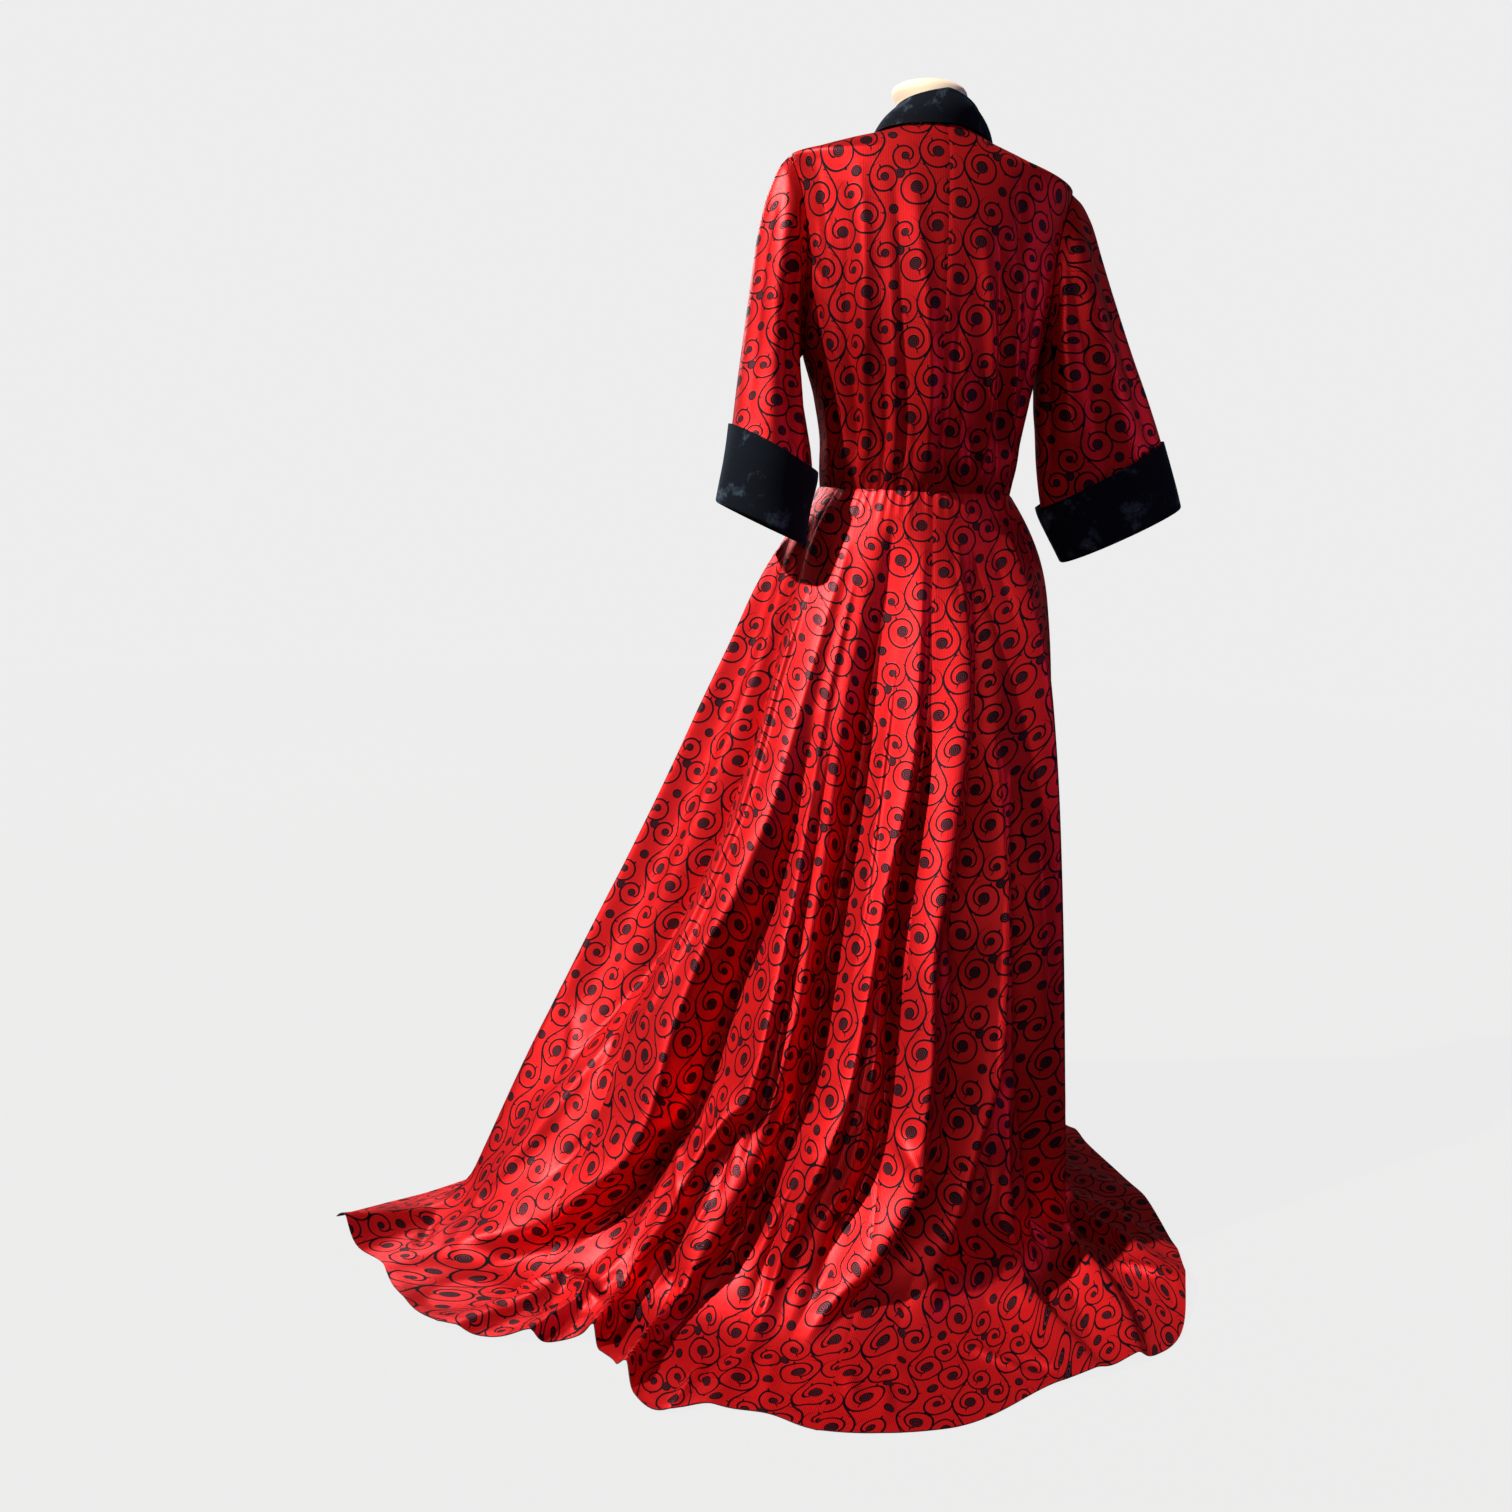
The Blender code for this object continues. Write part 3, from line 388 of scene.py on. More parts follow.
def brocadeMaterial():
    material, add = newMaterial("red_satin_brocade")
    dark, light, acrossCloth = brocadeFigure(add)
    place = add("TexCoord").node.outputs["Object"]
    tone = add("TexNoise", Vector=place, Scale=brocade["clouds"], Detail=3.0)
    ground = add("Mix", tone, colour(brocade["groundDeep"]), colour(brocade["ground"]), data_type="RGBA")
    # ribs of the warp, drawn about as coarse as the photo's grain shows them
    ribs = add("Math", acrossCloth, 1 / brocade["ribSpacing"], operation="MULTIPLY")
    ribs = add("Math", ribs, 0.5, operation="PINGPONG")
    ribs = add("Math", ribs, 2.0, operation="MULTIPLY")
    # painted shade and light: the ground is darkened in the grooves between the ribs and lightened a little
    # on their crests, following the ribs' relief
    shade = add("Math", ribs, brocade["ribRange"], brocade["ribDarkest"], operation="MULTIPLY_ADD")
    grey = add("CombineColor", shade, shade, shade)
    ground = add("Mix", 1.0, ground, grey, data_type="RGBA", blend_type="MULTIPLY")
    thread = add("Mix", light, colour(brocade["figure"]), colour(brocade["figureLight"]), data_type="RGBA")
    surface = add("Mix", dark, ground, thread, data_type="RGBA")
    shine = add("Math", dark, brocade["figureRoughness"], brocade["roughness"], operation="MULTIPLY_ADD")
    threads = add("Mapping", Vector=place, Scale=brocade["threads"])
    weave = add("TexNoise", Vector=threads, Scale=1.0, Detail=2.0)
    relief = add("Math", ribs, brocade["ribRelief"], weave, operation="MULTIPLY_ADD")
    relief = add("Math", dark, brocade["figureRelief"], relief, operation="MULTIPLY_ADD")
    bump = add("Bump", Strength=0.3, Distance=0.0004, Height=relief)
    return setShader(material, BaseColor=surface, Roughness=shine, Normal=bump, Metallic=0.68,
                     Anisotropic=0.3, SpecularIORLevel=0.2, CoatWeight=0.02, CoatRoughness=0.4, IOR=1.52)


def reverseMaterial():
    # the brocade's wrong side: floats of both colours, darker and duller
    material, add = newMaterial("brocade_wrong_side")
    dark = brocadeFigure(add)[0]
    floats = add("Mix", dark, colour(brocade["reverse"]), colour(brocade["reverseFigure"]), data_type="RGBA")
    place = add("TexCoord").node.outputs["Object"]
    weave = add("TexNoise", Vector=place, Scale=brocade["threads"][0], Detail=2.0)
    bump = add("Bump", Strength=0.25, Distance=0.0004, Height=weave)
    return setShader(material, BaseColor=floats, Roughness=0.62, SheenWeight=0.1, Normal=bump)


velvet = {
    "pile": "#08111c",
    "crushed": "#5f7890",
    "sheen": "#54789c",
    # to a metre: crushed marks of 38 mm, specks of 2.4 mm in them and tufts of 0.7 mm
    "marks": 26.0,
    "specks": 420.0,
    "tufts": 1400.0,
    "markRange": (0.55, 0.72),
    "speckContrast": (1.6, -0.35),
    "markRelief": 1.5,
}


def velvetMaterial():
    # cotton velvet: an upright cut pile that is black face-on and lights up at its edges,
    # with lighter marks where the pile is crushed
    material, add = newMaterial("blue_black_velvet")
    place = add("TexCoord").node.outputs["Object"]
    cloudy = add("TexNoise", Vector=place, Scale=velvet["marks"], Detail=6.0, Roughness=0.65)
    marks = add("MapRange", cloudy, *velvet["markRange"])
    fine = add("TexNoise", Vector=place, Scale=velvet["specks"], Detail=3.0, Roughness=0.7)
    fine = add("Math", fine, *velvet["speckContrast"], operation="MULTIPLY_ADD", use_clamp=True)
    marks = add("Math", marks, fine, operation="MULTIPLY")
    pile = add("Mix", marks, colour(velvet["pile"]), colour(velvet["crushed"]), data_type="RGBA")
    tuft = add("TexNoise", Vector=place, Scale=velvet["tufts"], Detail=2.0)
    relief = add("Math", cloudy, velvet["markRelief"], tuft, operation="MULTIPLY_ADD")
    bump = add("Bump", Strength=0.45, Distance=0.0006, Height=relief)
    return setShader(material, BaseColor=pile, Roughness=0.95, SpecularIORLevel=0.12, SheenWeight=0.85,
                     SheenRoughness=0.3, SheenTint=colour(velvet["sheen"]), Normal=bump)


# to a metre: clouds of 140 mm, wales of 0.8 mm and rows of 1.4 mm
jersey = {"shaded": "#e9dcc2", "light": "#fff8e6", "clouds": 7.0, "stitches": (1300.0, 1300.0, 700.0)}


def jerseyMaterial():
    # stretch jersey cover of the form: fine vertical wales of the knit, matt
    material, add = newMaterial("cream_jersey")
    place = add("TexCoord").node.outputs["Object"]
    tone = add("TexNoise", Vector=place, Scale=jersey["clouds"], Detail=4.0)
    cover = add("Mix", tone, colour(jersey["shaded"]), colour(jersey["light"]), data_type="RGBA")
    wales = add("Mapping", Vector=place, Scale=jersey["stitches"])
    knit = add("TexNoise", Vector=wales, Scale=1.0, Detail=1.0)
    bump = add("Bump", Strength=0.25, Distance=0.0003, Height=knit)
    return setShader(material, BaseColor=cover, Roughness=0.8, Normal=bump, SheenWeight=0.25,
                     SheenRoughness=0.5)


# to a metre: worn places of 56 mm and orange peel of 1.4 mm
paint = {"black": "#101012", "worn": "#26272a", "wear": 18.0, "peel": 700.0}


def paintMaterial():
    # steel with satin black powder paint: fine orange peel, worn a little lighter in places
    material, add = newMaterial("satin_black_powder_paint")
    place = add("TexCoord").node.outputs["Object"]
    wear = add("TexNoise", Vector=place, Scale=paint["wear"], Detail=5.0)
    coat = add("Mix", wear, colour(paint["black"]), colour(paint["worn"]), data_type="RGBA")
    peel = add("TexNoise", Vector=place, Scale=paint["peel"], Detail=1.0)
    bump = add("Bump", Strength=0.2, Distance=0.0003, Height=peel)
    return setShader(material, BaseColor=coat, Roughness=0.42, CoatWeight=0.15, Normal=bump)


brocadeCloths = (brocadeMaterial(), reverseMaterial())
velvetCloths = (velvetMaterial(),) * 2
jerseyCloth = jerseyMaterial()
blackPaint = paintMaterial()
print("materials made")

# Bodice

clothThickness = 0.0012
velvetThickness = 0.0022
seamDip = 0.0006
seamDipWidth = 0.003
ridgeRoundness = 1.7
troughRoundness = 1.5
creaseRoundness = 1.6
creaseFade = 0.6
creaseEnds = (0.03, 0.97)

bodice = {
    # half width, back reach, front reach, side shift, side height, back height, front height
    "levels": (
        (0.1195, 0.095, 0.09, 0, 0.9, 0.9, 0.9),
        (0.1215, 0.106, 0.101, 0, 0.955, 0.955, 0.955),
        (0.1315, 0.113, 0.117, 0, 1.01, 1.01, 1.01),
        (0.146, 0.116, 0.128, 0, 1.06, 1.065, 1.055),
        (0.156, 0.115, 0.13, 0, 1.11, 1.12, 1.095),
        (0.162, 0.11, 0.122, 0, 1.16, 1.175, 1.135),
        (0.166, 0.102, 0.108, 0.002, 1.205, 1.222, 1.17),
        (0.17, 0.094, 0.096, 0.004, 1.248, 1.26, 1.198),
        (0.174, 0.086, 0.086, 0.006, 1.281, 1.284, 1.218),
        (0.145, 0.081, 0.081, 0.008, 1.292, 1.295, 1.232),
        (0.111, 0.076, 0.075, 0.01, 1.302, 1.304, 1.246),
        (0.079, 0.071, 0.069, 0.012, 1.31, 1.311, 1.26),
        (0.0525, 0.066, 0.063, 0.013, 1.319, 1.317, 1.274),
    ),
    "waistShift": -0.004,
    "waistBlend": (1, 4),
    "leftShoulderRise": 0.001,
    "rightShoulderDrop": 0.019,
    "shoulderBlend": (4, 8),
    "neckBlend": (10, 12),
    "neckShare": 0.5,
    "underarmLevel": 3.0,
    "shoulderLevel": 8.0,
    "neckLevel": 12.0,
    "armholeScoop": 21.0,
    "armholeRoundness": 0.55,
    "lapWidth": 0.03,
    "lapStep": 0.0024,
    "lapRise": (145, 164),
    "calmArmhole": 5.0,
    "backGrid": (100, 150),
    "frontGrid": (64, 100),
    "foldLean": 1.15,
    "foldDepth": 1.5,
    # each ridge or trough: rows of level, direction, height, half width in degrees
    "folds": (
        ((0, 56, 0, 4), (1, 55.5, 3.4, 4.5), (2.7, 54, 4.6, 4.5), (4, 55, 4.2, 4.5), (5.2, 52.5, 3.4, 4),
         (6.6, 55.5, 1.8, 4), (7.6, 58, 0, 4)),
        ((0, 48, 0, 2.5), (1, 48.5, -3, 2.8), (2.7, 47, -3.6, 2.8), (4.2, 45, -3.4, 3),
         (5.4, 43, -2.4, 3), (6.8, 45, 0, 3)),
        ((0, 43, 0, 3), (0.8, 41, 3.4, 3.4), (2.1, 40, 4.8, 3.6), (3.5, 36, 5, 4), (5.1, 35, 4, 4),
         (6.6, 36, 1.6, 4), (7.6, 37, 0, 4)),
        ((0, 30, 0, 2.5), (0.9, 30, -3, 3), (2.2, 29, -3.6, 3.4), (3.6, 27.5, -2.4, 3.4), (5, 27, 0, 3)),
        ((0, 24.5, 0, 2), (0.8, 25, 2.2, 2.2), (2, 24.5, 2.6, 2.4), (3.4, 24, 1.6, 2.6),
         (4.6, 25, 0, 2.6)),
        ((0, 19, 0, 2.6), (0.9, 19, -3.2, 2.8), (3, 18, -3.8, 3), (4.1, 19, -3.6, 3.2),
         (5.1, 20, -2.6, 3.4), (6.4, 21.5, -1.2, 3.4), (7.4, 22, 0, 3)),
        ((0, 5.5, 0, 3), (0.85, 6, 3, 3.4), (2.1, 6, 4, 3.6), (3.1, 7, 3.8, 3.8), (4.1, 8.5, 3.4, 4),
         (5, 11.5, 2.6, 4), (6, 13, 1.6, 4), (7.2, 14, 0, 4)),
        ((0, 13, 0, 1.6), (0.7, 13, -1.8, 1.8), (1.6, 13, 0, 1.8)),
        ((0, -5, 0, 2.4), (0.8, -5, -2.4, 2.6), (2, -5.5, -2.6, 3), (3.6, -6, -1.4, 3.4),
         (5, -7, 0, 3.4)),
        ((0, -13, 0, 3), (0.7, -12, 2.4, 3), (1.8, -11, 1.4, 3.4), (3, -11, 0, 3.4)),
        ((0, -27, 0, 3), (1.4, -28, 4, 3.2), (2.8, -25, 4.8, 3.2), (3.8, -21, 4.4, 3.2),
         (4.7, -17, 2.8, 3.4), (5.6, -14, 0, 3.4)),
        ((0, -43, 0, 2.6), (1.1, -42, -3.4, 2.8), (2.2, -34.5, -4.2, 2.6), (3.5, -28.5, -4, 2.6),
         (4.7, -24.5, -2.6, 2.8), (5.7, -22, 0, 3)),
        ((0, -52, 0, 3), (0.9, -52, 4, 3.2), (2.2, -43, 4.8, 3.2), (3.3, -37.5, 4.4, 3.4),
         (4.3, -35, 3, 3.4), (5.4, -33, 0, 3.4)),
        ((4.4, -34, 0, 3), (5.1, -34, -2.8, 3), (5.9, -33.5, -3, 3), (6.8, -32, -1.8, 3),
         (7.6, -31, 0, 3)),
        ((0, -63, 0, 3), (1, -63, -3, 3), (2.6, -57, -3.2, 3.2), (4.2, -52, -2.4, 3.4),
         (5.8, -50, 0, 3.4)),
        ((0, -75, 0, 4), (1.2, -74, 3.6, 4.5), (2.4, -70, 2.6, 5), (3.4, -66, 0, 5)),
        ((0, 73, 0, 5), (1.2, 73, 2.2, 5), (2.6, 73, 0, 5)),
        ((3, 73, 0, 3), (4, 66, 2.4, 3), (5, 61, 2.4, 3), (6, 60, 0, 3)),
        ((0, 113, 0, 6), (1.2, 112, 3, 6), (3.2, 112, 0, 6)),
        ((0, 122, 0, 3.5), (1.2, 122, -2.6, 4), (3.6, 124, 0, 5)),
        ((0, 132, 0, 5), (1.4, 132, 3.4, 5.5), (3.8, 134, 0, 7)),
        ((0, 153, 0, 4), (1.2, 152, 2.6, 4.5), (3, 151, 0, 5)),
        ((0, -111, 0, 5), (1.3, -112, 3.2, 6), (3.4, -113, 0, 6)),
        ((0, -123, 0, 3.5), (1, -122, -2.4, 4), (3, -121, 0, 5)),
        ((0, -134, 0, 5), (1.3, -134, 3.2, 5.5), (3.4, -135, 0, 7)),
        ((0, -154, 0, 4), (1.4, -153, 2.8, 4.5), (3.4, -151, 0, 5)),
    ),
    # how far the gathered cloth puffs out just above the waist seam, and the puff's level
    "puff": 0.0022,
    "puffLevel": 0.55,
    # small gathers at the waist seam: direction, height, half width in degrees, level where
    # they have died out
    "gathers": (
        (3, 1.5, 1.5, 0.9), (9, 1.1, 1.2, 0.6), (12.5, 1.8, 1.8, 1.3), (18, 1.2, 1.3, 0.8),
        (23, 1.5, 1.5, 1.1), (27.5, 1.9, 1.7, 1.5), (33, 1.3, 1.4, 0.8), (38, 1.6, 1.5, 1),
        (43, 1.4, 1.6, 1.2), (49, 1.1, 1.4, 0.8), (54.5, 1.3, 1.8, 1.4), (62, 0.7, 1.8, 0.9),
        (-3.5, 1.4, 1.3, 0.8), (-8.5, 1.8, 1.6, 1.2), (-14, 1.4, 1.5, 0.9), (-18.5, 1.7, 1.5, 1.4),
        (-24.5, 1.2, 1.4, 0.7), (-30, 1.8, 1.8, 1.2), (-36.5, 1.3, 1.5, 0.9), (-42, 1.6, 1.6, 1.3),
        (-48.5, 1.4, 1.6, 0.8), (-55.5, 1.6, 1.9, 1.2), (-63, 1.1, 1.6, 0.8), (-71, 1.2, 2, 1),
        (-84, 1, 2.1, 1), (104, 1.1, 2.2, 1), (121, 1.3, 2, 1.3), (143, 1.2, 2.1, 1.1),
        (-103, 1.2, 2.1, 1.1), (-124, 1.2, 2.2, 1.2), (-145, 1.3, 2, 1),
    ),
    "gatherStart": 0.05,
    # short slanting creases: level and direction at one end and the other, height, half width
    "creases": (
        (5.2, 66, 4.4, 56, -2, 5), (4.4, 68, 3.6, 59, -2.2, 5), (3.7, 72, 2.8, 62, -1.8, 5),
        (5.6, -73, 4.6, -62, -2, 6), (4.4, -74, 3.4, -60, -2.4, 6), (3.6, -80, 2.5, -66, -2, 6),
        (1.2, 33, 0.5, 26, -1.4, 3), (0.9, 17, 0.35, 22, -1.4, 2.6), (1.3, -17, 0.6, -22, -1.4, 3),
        (0.9, -33, 0.4, -27, -1.5, 3), (1.4, -58, 0.7, -48, -1.6, 3.5), (1, 9, 0.4, 5, -1.3, 2.6),
    ),
}
bodiceLevels = np.array(bodice["levels"])
waistHeight = bodiceLevels[0, 4]


def ringPoint(angle, columns):
    halfWidth, backReach, frontReach, sideShift, sideZ, backZ, frontZ = columns
    turn = np.radians(angle)
    forward = np.cos(turn)
    back = forward > 0
    reach = np.where(back, backReach - sideShift, frontReach + sideShift)
    middleZ = np.where(back, backZ, frontZ)
    x = halfWidth * np.sin(turn)
    y = sideShift + reach * forward
    z = sideZ + (middleZ - sideZ) * forward ** 2
    return np.stack([x, y, z], axis=-1)


def bodiceBase(angle, level):
    angle, level = np.broadcast_arrays(np.asarray(angle, float), np.asarray(level, float))
    rows = np.arange(len(bodiceLevels))
    point = ringPoint(angle, [curveThrough(rows, column, level) for column in bodiceLevels.T])
    side = np.sin(np.radians(angle))
    uneven = np.where(side > 0, bodice["leftShoulderRise"], -bodice["rightShoulderDrop"]) * side ** 2
    nearNeck = bodice["neckShare"] * easeBetween(*bodice["neckBlend"], level)
    point[..., 2] += uneven * easeBetween(*bodice["shoulderBlend"], level) * (1 - nearNeck)
    point[..., 0] += bodice["waistShift"] * (1 - easeBetween(*bodice["waistBlend"], level))
    # below the waist seam the sides run straight on
    point[..., 2] += np.minimum(level, 0.0) * (bodiceLevels[1, 4] - waistHeight)
    return point


def bodiceOutward(angle, level):
    return surfaceNormal(bodiceBase, angle, np.clip(level, 0.05, bodice["neckLevel"] - 0.05))


def armholeAngle(level):
    low, high = bodice["underarmLevel"], bodice["shoulderLevel"]
    share = np.clip((np.asarray(level, float) - low) / (high - low), 0, 1)
    return 90.0 - bodice["armholeScoop"] * np.sin(math.pi * share) ** bodice["armholeRoundness"]


def foldLift(folds, lean, angle, along):
    # along has one value for each row of the grid. A ridge is steeper on its side away from
    # the window and a trough on the near side
    lift = np.zeros(angle.shape)
    for rows in folds:
        place, direction, height, width = np.array(rows).T
        reached = np.flatnonzero((along >= place[0]) & (along <= place[-1]))
        rise = millimetre * curveThrough(place, height, along[reached])
        away = turnDifference(angle[:, reached], curveThrough(place, direction, along[reached]))
        away = away / curveThrough(place, width, along[reached])
        steep = np.where(rise > 0, lean, 1 / lean)
        roundness = np.where(rise > 0, ridgeRoundness, troughRoundness)
        away = np.where(away > 0, away / steep, away * steep)
        lift[:, reached] += rise * np.exp(-np.abs(away) ** roundness)
    return lift


def gatherLift(angle, gone):
    # gone says for each gather how much of it has died out
    lift = np.zeros(angle.shape)
    for centre, height, width, diesAt in bodice["gathers"]:
        away = turnDifference(angle, centre) / width
        lift += millimetre * height * np.exp(-away ** 2) * (1 - gone(diesAt))
    return lift


def creaseLines(creases, surface):
    # the end points of short creases on the surface, with their height and half width
    startAlong, startTurn, endAlong, endTurn, height, width = np.array(creases).T
    starts = surface(startTurn, startAlong)
    ends = surface(endTurn, endAlong)
    return list(zip(starts, ends, millimetre * height, millimetre * width))


def creaseLift(lines, points):
    # short creases between two points of the surface, soft at both ends
    lift = np.zeros(points.shape[:-1])
    for start, end, height, width in lines:
        line = end - start
        share = ((points - start) @ line) / (line @ line)
        foot = start + np.clip(share, 0.0, 1.0)[..., None] * line
        away = np.linalg.norm(points - foot, axis=-1) / width
        fades = np.sin(math.pi * np.clip(share, *creaseEnds)) ** creaseFade
        lift += height * fades * np.exp(-np.abs(away) ** creaseRoundness)
    return lift


bodiceCreases = creaseLines(bodice["creases"], bodiceBase)


def bodiceLift(angle, level):
    lift = foldLift(bodice["folds"], bodice["foldLean"], angle, level[0]) * bodice["foldDepth"]
    lift += gatherLift(angle, lambda diesAt: easeBetween(bodice["gatherStart"], diesAt, level))
    lift += creaseLift(bodiceCreases, bodiceBase(angle, level))
    puff = np.exp(-((level - bodice["puffLevel"]) / bodice["puffLevel"]) ** 2) - math.exp(-1)
    return lift + bodice["puff"] * np.maximum(puff, 0.0)


def sinkSeams(points, outward, first, last):
    # cloth dips into a seam along the first and last columns
    across = arcLengths(points, 0)
    dip = np.zeros(across.shape)
    if first:
        dip += np.exp(-(across / seamDipWidth) ** 2)
    if last:
        dip += np.exp(-((across[-1] - across) / seamDipWidth) ** 2)
    return points - outward * (dip * seamDip)[..., None]


def finishSheet(piece, node):
    # rides on the one body and stands for its CAD node
    standFor(piece, node)


def bodicePanel(node, side, front):
    columns, rows = bodice["frontGrid" if front else "backGrid"]
    level = np.linspace(0.0, bodice["neckLevel"], rows)
    edge = armholeAngle(level)
    halfWidth = curveThrough(np.arange(len(bodiceLevels)), bodiceLevels[:, 0], level)
    lap = np.degrees(np.arcsin(bodice["lapWidth"] / 2 / halfWidth)) if front else 0 * level
    share = np.linspace(0.0, 1.0, columns)[:, None]
    angle = 180.0 - edge + (edge + lap) * share if front else edge * share
    level = np.broadcast_to(level, angle.shape)
    signed = side * angle
    outward = bodiceOutward(signed, level)
    lift = bodiceLift(signed, level)
    if front and side < 0:
        lift = lift + bodice["lapStep"] * easeBetween(*bodice["lapRise"], angle)
    nearEdge = np.abs(angle - (180.0 - edge if front else edge))
    calm = easeBetween(0.0, bodice["calmArmhole"], nearEdge)
    points = bodiceBase(signed, level) + outward * (lift * calm)[..., None]
    points = sinkSeams(points, outward, True, not front)
    points[:, 0, 2] = waistHeight
    across = arcLengths(points, 0)
    along = arcLengths(points, 1)
    grain = along[len(along) // 2] if front else along[0]
    flat = np.stack([side * across, -np.broadcast_to(grain, across.shape)], axis=-1)
    piece = layGrid(node + "_cloth", points, outward, flat, brocadeCloths, clothThickness)
    finishSheet(piece, node)


for sideName, side in (("left", 1), ("right", -1)):
    for frontName, front in (("back", False), ("front", True)):
        bodicePanel(frontName + "_bodice_" + sideName, side, front)
print("bodice laid")

# Skirt

